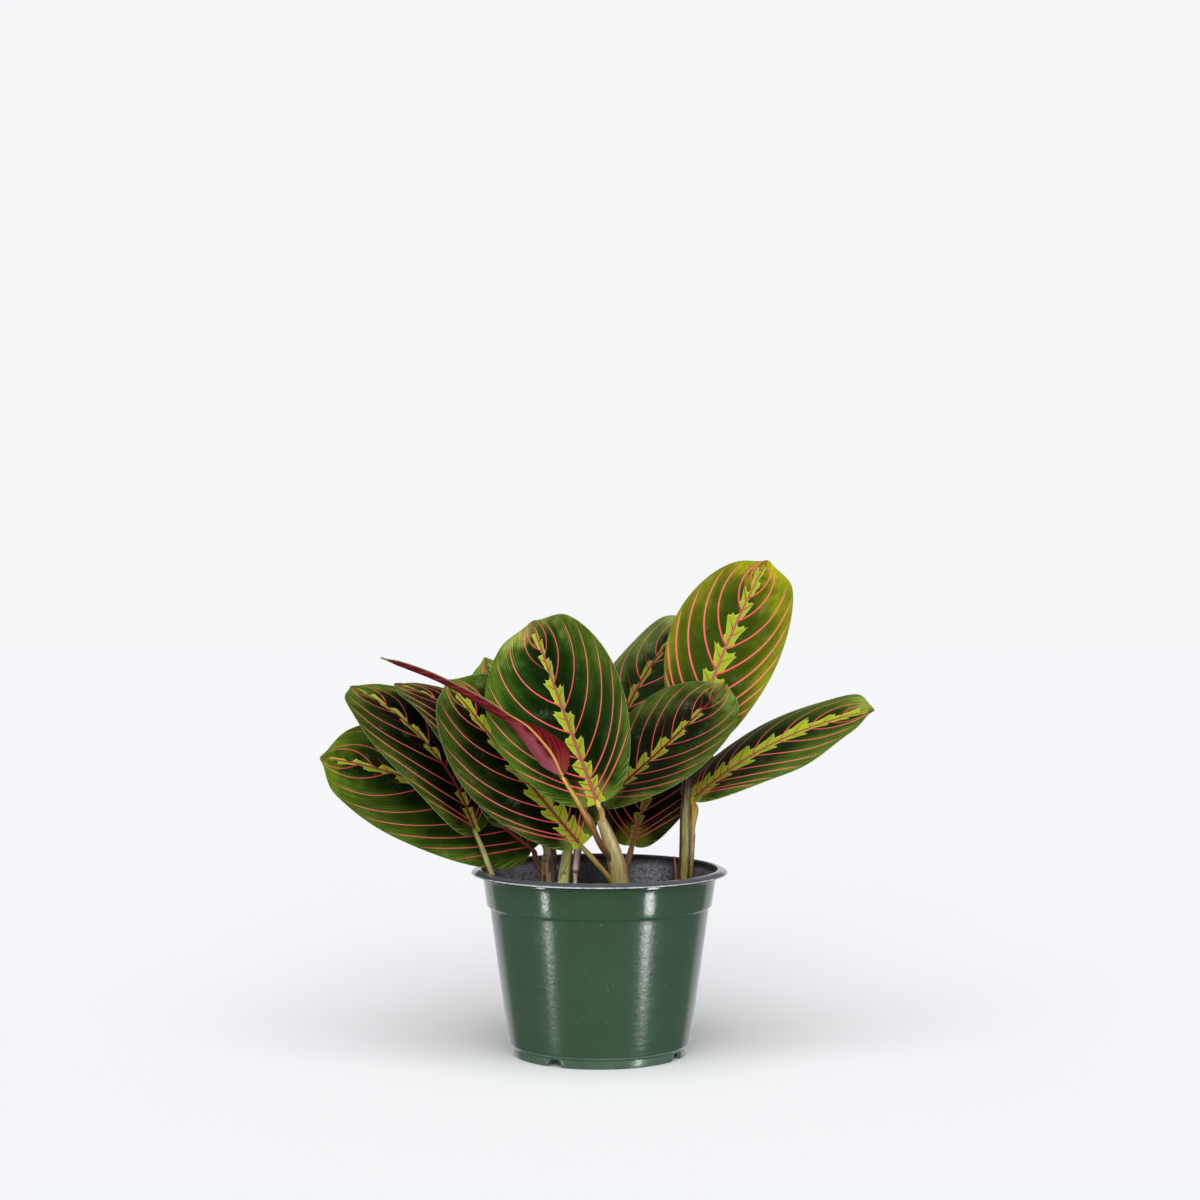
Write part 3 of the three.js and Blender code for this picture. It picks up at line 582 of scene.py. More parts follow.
def rolled_skin(look):
    """Underside of a leaf that is still rolled: young, glossy skin full of crimson pigment.

    To the eye: deep crimson streaked along the roll, rosier on the half that catches the
    light, with an ochre midrib and a dry olive tip.
    """
    material, tree, shader = new_material(
        "Maranta leaf, young crimson underside", {
            "IOR": 1.42, "Roughness": 0.42, "Specular IOR Level": 0.14})
    streaks = noise(tree, stretched(tree, chart(tree, "veins"), (9, 0.06, 1)), 1.0, 4.0, 0.6)
    tint = attribute(tree, "tint", "Color")
    base = scaled(tree, tint, remap(tree, streaks, 0.3, 0.7, 0.62, 1.35))
    veins = remap(tree, attribute(tree, "vein"), 0.3, -0.1, 0.0, 0.5)
    base = blend(tree, veins, base, linear("#a42338"))
    midrib = remap(tree, attribute(tree, "rib"), 0.12, -0.15)
    base = blend(tree, midrib, base, look.young_rib[:])
    plug(tree, shader, {"Base Color": base, "Normal": bump(tree, streaks, 0.5, 0.4)})
    return material


def young_upper():
    """Inner face of the rolled leaf, the coming upper side: thin young skin.

    To the eye: olive green and satin, streaked along the roll.
    """
    material, tree, shader = new_material("Maranta leaf, young upper skin", {
        "IOR": 1.42, "Roughness": 0.45})
    streaks = noise(tree, stretched(tree, chart(tree, "veins"), (9, 0.06, 1)), 1.0)
    tone = blend(tree, streaks, linear("#5a6a30"), linear("#93a050"))
    plug(tree, shader, {"Base Color": tone})
    return material


def stalk_skin(name, roughness, contrast):
    """Skin of a fleshy leaf stalk, or of dry fibre where the contrast is high.

    To the eye: satin, with fine threads along it that are lighter and darker by turns, a few
    pale scars and brown spots.
    """
    material, tree, shader = new_material(name, {"IOR": 1.42, "Roughness": roughness})
    # Threads 0.5 mm wide and about 12 mm long, coarser than life so that they show.
    threads = noise(tree, stretched(tree, chart(tree, "round"), (2.0, 0.08, 1)), 1.0, 4.0, 0.7)
    tone = remap(tree, threads, 0.34, 0.66, 1 - contrast, 1 + contrast)
    base = scaled(tree, attribute(tree, "tint", "Color"), tone)
    # Blotches of 3 mm: pale scars of the skin where they are weakest, brown spots at their top.
    blotches = noise(tree, object_place(tree), 300.0, 4.0, 0.65)
    base = blend(tree, remap(tree, blotches, 0.36, 0.28, 0.0, 0.5), base, linear("#c9c0a0"))
    base = blend(tree, remap(tree, blotches, 0.6, 0.7, 0.0, 0.7), base, linear("#54301f"))
    plug(tree, shader, {"Base Color": base, "Normal": bump(tree, threads, 0.6, 0.3)})
    return material


# ------------------------------------------------------------------ leaf surfaces

def spine(leaf, along):
    """The frame of a blade at each distance along its midrib.

    Heading, rise and roll change evenly from base to tip. The midrib's direction is (cos rise
    cos heading, cos rise sin heading, sin rise), and its place is the running sum of that. The
    side direction is level and square to it, and side and face are turned by the roll. Past
    either end the midrib goes straight on.
    """
    steps = 240
    s = np.linspace(0, 1, steps + 1)
    heading, rise, roll = (np.radians(a + (b - a) * s) for a, b in (
        leaf["heading"], leaf["rise"], leaf.get("roll", (0, 0))))
    ahead = np.stack([np.cos(rise) * np.cos(heading), np.cos(rise) * np.sin(heading),
                      np.sin(rise)], -1)
    side = np.stack([np.sin(heading), -np.cos(heading), 0 * s], -1)
    face = np.cross(side, ahead)
    right = side * np.cos(roll)[:, None] + face * np.sin(roll)[:, None]
    up = face * np.cos(roll)[:, None] - side * np.sin(roll)[:, None]
    moves = (ahead[1:] + ahead[:-1]) / 2 * leaf["length"] / steps
    at = np.array(leaf["base"]) + np.concatenate([np.zeros((1, 3)), np.cumsum(moves, 0)])
    t = np.clip(along / leaf["length"], 0, 1)
    at, ahead, right, up = (
        np.stack([np.interp(t, s, v[:, k]) for k in range(3)], -1)
        for v in (at, ahead, right, up))
    return at + ahead * (along - t * leaf["length"])[..., None], right, up


def margin_line(leaf, half, e):
    """Flat margin of one half. Its half width is the leaf's times sin(pi e^fullest)^ends, and
    it narrows to a small point at the tip. Its place along is the length times e, set back near
    the base so that the blade has a rounded lobe beside the stalk."""
    point = 1 - PINCH * np.exp(-(((1 - e) / PINCH_LENGTH) ** 2))
    width = np.clip(np.sin(math.pi * e ** leaf["fullest"]), 0, 1) ** leaf["ends"][half] * point
    along = leaf["length"] * e - LOBE * width * (1 - e) ** 6
    return along, leaf["half_width"] * width


def vein_curves(leaf, half, tau, out):
    """Flat places on the curves that the side veins follow, as along and across.

    The curve of tau leaves the midrib at tau^1.6 of its length and meets the margin where e is
    1 - (1 - tau^0.88)^2.4, so it runs far up the blade. Between them it is a parabola that bows
    out from its chord, by 8 to 22 hundredths of the chord from base to tip, and out goes from 0
    on the midrib to 1.
    """
    root = leaf["length"] * tau ** ROOT_POWER
    along, across = margin_line(leaf, half, 1 - (1 - tau ** 0.88) ** 2.4)
    chord = along - root
    bow = (0.3 + 0.6 * tau) * ramp(tau, -0.05, 0.25) * out * (1 - out)
    return root + chord * out - across * bow, across * out + chord * bow


def bend_blade(leaf, name, half, along, across):
    """Bends flat points into place. From the midrib each half is an arc across: it starts at
    its lift angle and turns by its curl over the half width, and a wave along the margin grows
    with the square of the distance from the midrib. The waves are even over the stations of
    the solid, which are (1 - (1 - e)^(1/3.2))^(1/1.4) at the part e of the length."""
    side = 1 if half else -1
    at, right, up = spine(leaf, along)
    lift = math.radians(leaf["lift"][half])
    bend = math.radians(leaf["curl"][half]) / leaf["half_width"] + 1e-9
    reach = (np.sin(lift + bend * across) - math.sin(lift)) / bend
    e = np.clip(along / leaf["length"], 0, 1)
    station = (1 - (1 - e) ** (1 / 3.2)) ** (1 / 1.4)
    ripple = np.sin(2 * math.pi * WAVE_COUNT * station + ord(name[-1]) + side)
    rise = (math.cos(lift) - np.cos(lift + bend * across)) / bend
    rise = rise + WAVE * ripple * (across / leaf["half_width"]) ** 2 * np.sin(math.pi * station)
    return at + right * (side * reach)[..., None] + up * rise[..., None]


def vein_places(seed):
    """tau of each main vein on the left and right halves: the roots to the power 1/1.6, each
    moved a little at random, and those of the left half further on."""
    rng = np.random.default_rng(seed)
    places = []
    for half in (0, 1):
        roots = np.array(VEIN_ROOTS) * (LEFT_FURTHER if half == 0 else 1)
        tau = roots ** (1 / ROOT_POWER) + rng.normal(0, VEIN_STRAY, len(roots))
        places.append(np.clip(tau, 0.02, 0.965))
    return places


def blade_rows(leaf, places):
    """tau of each row of the grid: evenly spaced along the margin and the midrib together,
    and then each main and middle vein takes the row nearest to it."""
    fine = np.linspace(0, 1, 4001)
    path = 0
    for half in (0, 1):
        for out in (0.0, 1.0):
            along, across = vein_curves(leaf, half, fine, np.full(fine.shape, out))
            path = path + np.hypot(np.gradient(along), np.gradient(across))
    total = np.cumsum(path) - path[0]
    rows = np.interp(np.linspace(0, total[-1], BLADE_ROWS + 1), total, fine)
    rows[0], rows[-1] = 0, 1
    keys = np.concatenate([np.concatenate([p, (p[1:] + p[:-1]) / 2]) for p in places])
    for key in np.sort(keys):
        rows[1 + np.argmin(np.abs(rows[1:-1] - key))] = key
    return np.sort(rows)


def vein_distances(tau, along, across, place):
    """Distances in mm to the curves of the nearest main vein and of the nearest middle vein:
    how far off each is in tau, times the mm that tau spans square to the curves there."""
    rate_along, rate_across = (np.gradient(v, axis=0) / np.gradient(tau, axis=0)
                               for v in (along, across))
    line_along, line_across = (np.gradient(v, axis=1) for v in (along, across))
    apart = np.abs(rate_along * line_across - rate_across * line_along) / np.maximum(
        np.hypot(line_along, line_across), 1e-6)
    middles = np.concatenate([[-1], (place[1:] + place[:-1]) / 2, [2]])
    return [np.abs(tau[..., None] - curves).min(-1) * apart for curves in (place, middles)]


def figure_lobes(leaf, half, q, root, size, seed):
    """How far out the figure's lobes could reach, and which part of that they do at each place.

    The first is feather times size, less towards the tip and 0 where it has faded or the leaf
    is bare. The part is that of a toothed lobe, and low on the blade that of a round one, along
    the way from one vein to the next, shifted by noise of up to 0.07. Beside the base the
    figure has no lobes, and the part stays near 0.64.
    """
    lobe = leaf["feather"] * size
    fade = leaf.get("fade", 0.99)
    lobe = lobe * (1 - 0.4 * ramp(root, 0.45, 0.95)) * (1 - ramp(root, fade - 0.1, fade))
    start, end = leaf.get("bare", (-2, -1))
    lobe = lobe * (1 - ramp(root, start, start + 0.08) * ramp(root, end, end - 0.08))
    wobble = lumps(np.stack([q * 3.0, 0 * q + half], -1), 1.7, seed, 2) * 0.07
    part = np.clip(q - np.floor(q) + wobble, 0, 1)
    spiky = ramp(root, 0.12, 0.5)
    tooth = (np.interp(part, TOOTH_AT, TOOTH_OUT) * spiky
             + np.interp(part, TOOTH_AT, ROUND_OUT) * (1 - spiky))
    solid = 1 - ramp(q, 1.6, 2.9)
    tooth = tooth * (1 - solid) + (0.64 + 0.05 * np.sin(q * 9)) * solid
    return lobe, np.maximum(tooth, leaf.get("join", 0.1) * (1 - ramp(root, 0.85, 1)))


def blade_tint(leaf, half, along, across, out, points, q, reach, seed):
    """Colours of a half blade, and how far out each place counts as: its part of the way to
    the margin, shifted by noise. They are dark beside the figure, greener further out, palest
    near the margin and the tip, and yellow round the base."""
    dark, blade, edge, tip = (np.array(linear(c)) for c in leaf["colours"])
    cloud = lumps(points, 26, seed + 1)
    swirl = lumps(np.stack([q * 7, reach * 0.12], -1), 5, seed + 2)
    mottle = lumps(points, 6, seed + 3)
    way = out + 0.13 * cloud + 0.07 * swirl + 0.12 * (np.abs(2 * (q - np.floor(q)) - 1) - 0.5)
    tint = mix(dark, blade, ramp(way, 0.14, 0.6))
    tint = mix(tint, edge, ramp(way, 0.5, 1.05) * 0.9)
    part = along / leaf["length"]
    tint = mix(tint, tip, ramp(part + 0.05 * cloud + 0.045 * mottle, 0.83, 1.0) * 0.8)
    darker = 1 - leaf.get("halves", (1, 1))[half]
    tint = tint * (1 - darker * ramp(way, 0.3, 0.7))[..., None]
    # Painted shade darkens the lower part of the blade, as much as shade says.
    tint = tint * (1 - leaf.get("shade", 0) * ramp(part, 0.42, 0.08))[..., None]
    glow = (1 - ramp(np.hypot(along, across), 6, 15)) * leaf.get("glow", 0.5)
    return mix(tint, linear("#8fa03a"), glow), way


def blade_relief(across, out, root, q, to_main):
    """Heights of the upper and the lower face over the middle of a half blade.

    Both swell by 0.34 mm times |sin(pi q)|^0.7 between the main veins, with 7 fine waves on
    that. The upper one sinks by 0.35 mm along the midrib. The lower one bears a ridge of 1 mm
    along it and a cord of 0.2 mm along each main vein, and comes closer at the margin.
    """
    swell = 0.34 * np.abs(np.sin(math.pi * q)) ** 0.7 * ramp(out, 0.04, 0.3) * (
        1 - ramp(out, 0.75, 1))
    fine = 0.035 * np.sin(2 * math.pi * 7 * q) * ramp(out, 0.15, 0.5)
    groove = 0.35 * np.exp(-(across / 1.3) ** 2) * (1 - 0.6 * root)
    cord = 0.14 * np.exp(-(to_main / 0.5) ** 2) * (1 - ramp(out, 0.85, 1))
    ridge = (1.0 - 0.75 * root) * np.exp(-(across / 1.0) ** 2)
    high = swell + fine - groove
    low = -BLADE + 0.22 * ramp(out, 0.9, 1) + swell + fine - ridge - cord * 1.4
    return high, np.minimum(low, high - 0.16)


def half_blade(name, leaf, half, rows, place, seed):
    """Everything about one half of a blade on the grid rows x columns from midrib to margin:
    bent points, relief of both faces, distances to its veins and figure, and its colours."""
    # Each lobe of the figure has its own size, and some middle veins run 8 to 20 mm out.
    rng = np.random.default_rng(seed)
    size = rng.uniform(0.8, 1.12, 12)
    far = np.where(rng.uniform(size=12) < 0.3, rng.uniform(8, 20, 12), 0)
    out = (np.arange(BLADE_COLUMNS + 1) / BLADE_COLUMNS) ** 1.25
    tau, out = np.meshgrid(rows, out, indexing="ij")
    along, across = vein_curves(leaf, half, tau, out)
    points = bend_blade(leaf, name, half, along, across)
    root = tau ** ROOT_POWER

    # Vein number q: whole at a main vein and half in the middle between two.
    knots = np.concatenate([[0], place, [1]])
    q = np.interp(tau, knots, np.arange(len(knots)))
    number = np.floor(q).astype(int)
    steps = np.hypot(np.diff(along, axis=1), np.diff(across, axis=1))
    reach = np.concatenate([np.zeros((len(rows), 1)), np.cumsum(steps, 1)], 1)
    whole = np.maximum(reach[:, -1:], 0.01)
    to_main, to_middle = vein_distances(tau, along, across, place)

    # Half widths of the veins, in mm. The last main vein is too short to show, and only the
    # lobes in the middle have a short vein, which ends a little past them.
    main_half = leaf.get("bold", 1) * (0.38 - 0.14 * out) * (1 - 0.3 * root)
    main_half = main_half * (1 - 0.8 * ramp(out, 0.8, 0.97))
    main_half = np.where((reach > whole - 1.2) | (q > len(place) - 0.5), -1, main_half)
    lobe, tooth = figure_lobes(leaf, half, q, root, size[number], seed + 5)
    tick_half = 0.32 * (1 - reach / np.maximum(np.maximum(lobe * 1.25, far[number]), 0.5))
    tick_half = np.where((number < 2) | (number > len(place) - 2), -1, tick_half)
    rib_half = 0.6 * (1 - root) ** 0.7 + 0.2

    tint, way = blade_tint(leaf, half, along, across, out, points, q, reach, seed)
    high, low = blade_relief(across, out, root, q, to_main)
    return dict(
        points=points, high=high, low=low, q=q, reach=reach, tint=tint,
        feather=reach - np.minimum(lobe * tooth, whole * 0.9), vein=to_main - main_half,
        tick=to_middle - tick_half, rib=across - rib_half, margin=whole - reach,
        outer=ramp(way, 0.35, 0.9), muted=0 * tau + leaf.get("muted", 0),
        aged=0 * tau + leaf.get("aged", 0))


def surface_normals(grid):
    """Unit normals of a grid of points: across its columns times along its rows. At a pole,
    where a row is one point, the next row's normals hold."""
    normal = np.cross(np.gradient(grid, axis=1), np.gradient(grid, axis=0))
    normal[0], normal[-1] = normal[1], normal[-2]
    return normal / np.maximum(np.linalg.norm(normal, axis=-1, keepdims=True), 1e-12)


def build_leaf(name, leaf, materials, seed):
    """One open leaf. Its left and right halves are laid side by side in one grid, which is
    raised for the upper face and lowered for the underside, and a rim joins the two. The rows
    at base and tip are single points."""
    places = vein_places(seed)
    rows = blade_rows(leaf, places)
    left, right = (half_blade(name, leaf, half, rows, places[half], seed * 10 + half)
                   for half in (0, 1))
    joined = {}
    for key in left:
        mirrored = left[key][:, ::-1]
        middle = (mirrored[:, -1:] + right[key][:, :1]) / 2
        joined[key] = np.concatenate([mirrored[:, :-1], middle, right[key][:, 1:]], 1)
    normal = surface_normals(joined["points"])
    upper = joined["points"] + normal * joined["high"][..., None]
    lower = joined["points"] + normal * joined["low"][..., None]
    count, width = joined["q"].shape
    index = np.arange(count * width).reshape(count, width)
    index[0], index[-1] = index[0, width // 2], index[-1, width // 2]
    under = index + count * width
    top = triangles(quads(index))
    bottom = triangles(quads(under[:, ::-1]))
    loop = edge_loop(index)
    rim = triangles(quads(np.stack([loop + count * width, loop])))
    faces = np.concatenate([top, bottom, rim])
    points = np.concatenate([upper.reshape(-1, 3), lower.reshape(-1, 3)])
    used = np.unique(faces)
    renumber = np.zeros(len(points), int)
    renumber[used] = np.arange(len(used))

    def twice(key):
        flat = joined[key].reshape(count * width, -1)
        return np.concatenate([flat, flat])[used]

    veins = np.concatenate([twice("q"), twice("reach")], 1)
    return make_piece(
        name + "_blade", points[used], renumber[faces], materials,
        face_material=np.repeat([0, 1, 0], [len(top), len(bottom), len(rim)]),
        floats={key: twice(key) for key in LEAF_VALUES},
        colours={"tint": twice("tint")}, maps={"veins": veins})


# ------------------------------------------------------------------ the rolled leaf

def smooth_steps(x, at, values):
    """Cubic through the values: each span is a Hermite curve whose slopes are those of the
    line between the two neighbours."""
    slope = np.gradient(values, at)
    i = np.clip(np.searchsorted(at, x, side="right") - 1, 0, len(at) - 2)
    width = at[i + 1] - at[i]
    t = (x - at[i]) / width
    return (values[i] * (2 * t ** 3 - 3 * t ** 2 + 1) + values[i + 1] * (3 * t ** 2 - 2 * t ** 3)
            + width * (slope[i] * (t ** 3 - 2 * t ** 2 + t) + slope[i + 1] * (t ** 3 - t ** 2)))


def rolled_tint(grid, length, place, across, sweep):
    """Colours of the rolled leaf's outside: deep crimson in clouds, brown at the base, rosy with
    a painted sheen on the lower part of the left half, which catches the light, and olive along
    the upper midrib and at the tip."""
    cloud = lumps(grid, 16, 41)
    # The lower part of the left half catches the light, so it is painted rosier as a sheen.
    side = ramp(-2 * across + 0.15 * cloud, 0.05, 0.4) * (1 - ramp(length, 25, 46))
    deep, young, brown, rosy, line, olive = (np.array(linear(code)) for code in (
        "#440405", "#5c0c0e", "#7c3428", "#8c4a54", "#8d8a4e", "#5f6a34"))
    tint = mix(deep, young, 0.5 + 0.5 * cloud)
    tint = mix(tint, brown, (1 - ramp(length, 2, 14)) * 0.7)
    tint = mix(tint, rosy, side * 0.9)
    tint = mix(tint, line, (1 - ramp(sweep, 0.5, 1.1)) * ramp(length, 40, 55) * 0.7)
    return mix(tint, olive, ramp(place + 0 * across, 0.955, 0.975))


def build_rolled_leaf(name, material, inner):
    """The new leaf, rolled round its length. At each place it is an arc of its radius and
    wrapping angle about a line that lies to the right of the midrib, and past a full turn its
    right margin lies inside its left. Its underside faces out."""
    rows, columns = 240, 96
    place = np.linspace(0, 1, rows) ** 1.1
    radius, wrap, turn = (smooth_steps(place, ROLLED_STATIONS[:, 0], values)[:, None]
                          for values in ROLLED_STATIONS.T[1:])
    radius = np.maximum(radius, 0.4)
    middle_radius = np.maximum(smooth_steps(place, *ROLL_CENTRE), 0.4)[:, None]
    place = place[:, None]
    across = np.linspace(-0.5, 0.5, columns + 1)[None]
    length = ROLLED["length"] * place
    middle, right, up = spine(ROLLED, length + 0 * across)
    # The left half grows slowly from the base, and the right one starts with a lobe.
    fuller = np.where(across < 0, 0.35 + 0.65 * ramp(place, -0.02, 0.16), 1)
    angle = np.radians(wrap) * across * fuller
    inward = np.minimum(ROLLED["overlap_step"], 0.6 * radius) * np.maximum(2 * across, 0)
    r = radius - inward * np.minimum(wrap / 360, 1) ** 4
    # The roll is never quite round, so its margins wander by a twentieth of its radius.
    r = r * (1 + 0.05 * np.sin(place * 23) * (np.abs(2 * across) ** 2))
    faced = angle + np.radians(turn)
    grid = middle + right * (middle_radius - r * np.cos(faced))[..., None] + up * (
        r * np.sin(faced))[..., None]

    # Veins leave the midrib at a small angle, so they run nearly along the roll.
    spacing = 9
    sweep = np.abs(angle) * radius
    q = (length + 2 - 1.3 * sweep ** 1.45) / spacing + 0.35 * (across > 0)
    to_vein = np.abs(q - np.round(q)) * spacing / np.sqrt(1 + (1.9 * sweep ** 0.45) ** 2)
    half = 0.22 * (1 - ramp(np.abs(across) * 2, 0.75, 1)) - 0.05
    rib_half = (0.5 * (1 - place) + 0.2) * (1 - ramp(place, 0.34, 0.5)) - 0.05
    tint = rolled_tint(grid, length, place, across, sweep)

    normal = surface_normals(grid)
    thick = np.minimum(0.45, 0.4 * radius)
    swell = 0.16 * np.abs(np.sin(math.pi * q)) * ramp(radius, 2.5, 5) * (
        1 - ramp(np.abs(2 * across), 0.8, 1))
    ridge = 0.5 * np.exp(-(angle * radius / 0.65) ** 2) * (1 - place)
    outside = grid + normal * (ridge - swell - 0.05)[..., None]
    inside = grid - normal * (thick + swell)[..., None]
    index = np.arange(rows * (columns + 1)).reshape(rows, columns + 1)
    under = index + index.size
    loop = edge_loop(index)
    outer_faces, inner_faces = quads(index), quads(under[:, ::-1])
    rim = quads(np.stack([loop + index.size, loop]))

    def twice(values):
        flat = np.broadcast_to(values, index.shape).reshape(-1)
        return np.concatenate([flat, flat])

    return make_piece(
        name, np.concatenate([outside.reshape(-1, 3), inside.reshape(-1, 3)]),
        np.concatenate([outer_faces, inner_faces, rim]), [material, inner],
        face_material=np.repeat([0, 1, 0], [len(outer_faces), len(inner_faces), len(rim)]),
        floats={"vein": twice(to_vein - half), "rib": twice(sweep - rib_half)},
        colours={"tint": np.concatenate([tint.reshape(-1, 4)] * 2)},
        maps={"veins": np.stack([twice(q), twice(sweep)], -1)})


# ------------------------------------------------------------------ shoots

def stalk_path(points):
    """Centripetal Catmull-Rom curve through the points, at even distances of 0.5 mm. Each span
    is a Hermite curve whose end slopes come from the points round it, timed by the square root
    of their distances. Returns places, directions and the part of the way at each."""
    p = np.array(points, float)
    p = np.concatenate([[2 * p[0] - p[1]], p, [2 * p[-1] - p[-2]]])
    time = np.linalg.norm(np.diff(p, axis=0), axis=1)[:, None] ** 0.5
    rate = np.diff(p, axis=0) / time
    two = (p[2:] - p[:-2]) / (time[1:] + time[:-1])
    slope = rate[:-1] - two + rate[1:]
    t = np.linspace(0, 1, 24, endpoint=False)[None, :, None]
    a, b = p[1:-2, None], p[2:-1, None]
    start, end = slope[:-1, None] * time[1:-1, None], slope[1:, None] * time[1:-1, None]
    curve = (a * (2 * t ** 3 - 3 * t ** 2 + 1) + b * (3 * t ** 2 - 2 * t ** 3)
             + start * (t ** 3 - 2 * t ** 2 + t) + end * (t ** 3 - t ** 2))
    curve = np.concatenate([curve.reshape(-1, 3), p[-2:-1]])
    way = np.concatenate([[0], np.cumsum(np.linalg.norm(np.diff(curve, axis=0), axis=1))])
    even = np.linspace(0, way[-1], max(int(way[-1] / 0.5), 8))
    place = np.stack([np.interp(even, way, curve[:, k]) for k in range(3)], -1)
    ahead = np.gradient(place, axis=0)
    return place, ahead / np.linalg.norm(ahead, axis=1, keepdims=True), even / way[-1]


def stalk_tint(stalk, place, way, turn, mouth, seed):
    """Colours of a stalk: its own ones run from the soil to its end, and over them lie its
    lines, its rings, the brown rim of its sheath and the dark foot in the soil."""
    height = place[:, 2:3] + 0 * turn
    stops = np.array(stalk.get("stops", (0, 0.4, 0.85, 1)))
    shades = np.array([linear(c) for c in stalk["colours"]])
    tall = max(place[-1, 2] - STALK_SEEN, 1)
    visible = np.clip((place[:, 2] - STALK_SEEN) / tall, 0, 1)
    tint = np.stack([np.interp(visible, stops, shades[:, k]) for k in range(4)], -1)
    tint = np.broadcast_to(tint[:, None], (*height.shape, 4))
    for k, (facing, width, colour) in enumerate(stalk.get("lines", ())):
        gap = np.degrees(np.abs((turn - math.radians(facing) + math.pi) % (2 * math.pi) - math.pi))
        wander = 8 * lumps(np.stack([way[:, 0], 0 * way[:, 0]], -1), 14, seed + k)[:, None]
        on = 1 - ramp(gap + wander, width * 0.35, width * 0.55)
        tint = mix(tint, linear(colour), 0.85 * on)
    for level, half, colour in stalk.get("rings", ()):
        on = np.exp(-((height - level) / half) ** 2)
        tint = mix(tint, linear(colour), 0.9 * on)
    if mouth is not None:
        rim = np.exp(-((height - mouth) / 0.7) ** 2)
        tint = mix(tint, linear("#7d5a38"), 0.7 * rim)
    return mix(tint, linear("#2c2018"), 0.6 * (1 - ramp(height, 74, 79)))


def stalk_surface(stalk, seed):
    """One stalk as a tube: a ring square to the path at each place, whose zero angle faces +X.

    Its radius runs evenly between those of the points, with twelve faint ribs along it, a
    slanted step where its sheath opens and a rounded end under the leaf. Returns points, faces,
    colours and a map of (mm round, mm along).
    """
    sides = 40
    points = [p[:3] for p in stalk["points"]]
    radii = [p[3] for p in stalk["points"]]
    if "carries" in stalk:
        leaf = ROLLED if stalk["carries"] == "leaf_06" else LEAVES[stalk["carries"]]
        at, _, up = spine(leaf, np.array([-1.2, STALK_TOP["past"]]))
        points += [at[0] - up[0] * 0.2, at[1] - up[1] * STALK_TOP["under"]]
        radii += [max(radii[-1] * 0.85, 1.1), STALK_TOP["radius"]]
    place, ahead, part = stalk_path(points)
    chord = np.concatenate([[0], np.cumsum(np.linalg.norm(np.diff(points, axis=0), axis=1))])
    radius = np.interp(part, chord / chord[-1], radii)
    kernel = np.hanning(7) / np.hanning(7).sum()
    radius = np.convolve(np.pad(radius, 3, mode="edge"), kernel, mode="valid")
    turn = np.linspace(0, 2 * math.pi, sides + 1)[None]
    across = np.array([1.0, 0, 0]) - ahead * ahead[:, :1]
    across /= np.linalg.norm(across, axis=1, keepdims=True)
    over = np.cross(ahead, across)
    ribs = 0.022 * np.cos(12 * turn + 5 * part[:, None]) + 0.012 * np.cos(31 * turn)
    shape = radius[:, None] * (1 + ribs)
    mouth = None
    if "sheath" in stalk:
        height, thick = stalk["sheath"]
        mouth = height + 4.5 * np.cos(turn - 2.2 + seed)
        cover = 1 - ramp(place[:, 2:3], mouth - 0.5, mouth + 0.4)
        shape = shape - thick * (1 - cover) * (1 - ramp(place[:, 2:3], height + 6, height + 12))
    # The last millimetre is rounded like a ball.
    way = part[:, None] * chord[-1]
    left = chord[-1] - way
    shape = shape * np.sqrt(np.clip(1 - np.clip(1 - left, 0, 1) ** 2, 0.02, 1))
    grid = place[:, None] + (across[:, None] * np.cos(turn)[..., None]
                             + over[:, None] * np.sin(turn)[..., None]) * shape[..., None]

    tint = stalk_tint(stalk, place, way, turn, mouth, seed)
    body, caps = tube(len(place), sides)
    ends = np.stack([grid[0].mean(0), grid[-1].mean(0) + ahead[-1] * 0.12])
    unrolled = np.stack([turn * radius[:, None], way + 0 * turn], -1)[:, :-1].reshape(-1, 2)
    return (np.concatenate([grid[:, :-1].reshape(-1, 3), ends]),
            np.concatenate([triangles(body), triangles(caps)]),
            np.concatenate([tint[:, :-1].reshape(-1, 4), tint[[0, -1], 0]]),
            np.concatenate([unrolled, unrolled[[0, -1]]]))


def build_shoot(name, stalks, material, seed):
    """One shoot: the tubes of its stalks, each closed, in one mesh."""
    parts = [stalk_surface(stalk, seed + k) for k, stalk in enumerate(stalks)]
    starts = np.cumsum([0] + [len(part[0]) for part in parts[:-1]])
    points, tint, unrolled = (np.concatenate([part[k] for part in parts]) for k in (0, 2, 3))
    faces = np.concatenate([part[1] + start for part, start in zip(parts, starts)])
    return make_piece(name + "_stalks", points, faces, [material], colours={"tint": tint},
                      maps={"round": unrolled})


# ------------------------------------------------------------------ pot and soil

def inner_radius(height):
    """Radius of the pot's inner wall, straight in each of its two parts."""
    band = POT["band_height"] - 1
    upper = (height - band) / (POT["height"] - POT["ledge"] - band)
    lower = (height - POT["foot"]) / (band - POT["foot"])
    return np.where(height > band, POT["band_bottom"] + (POT["band_top"] - POT["band_bottom"])
                    * upper, POT["wall_bottom"] + (POT["wall_top"] - POT["wall_bottom"])
                    * lower) - POT["wall"]


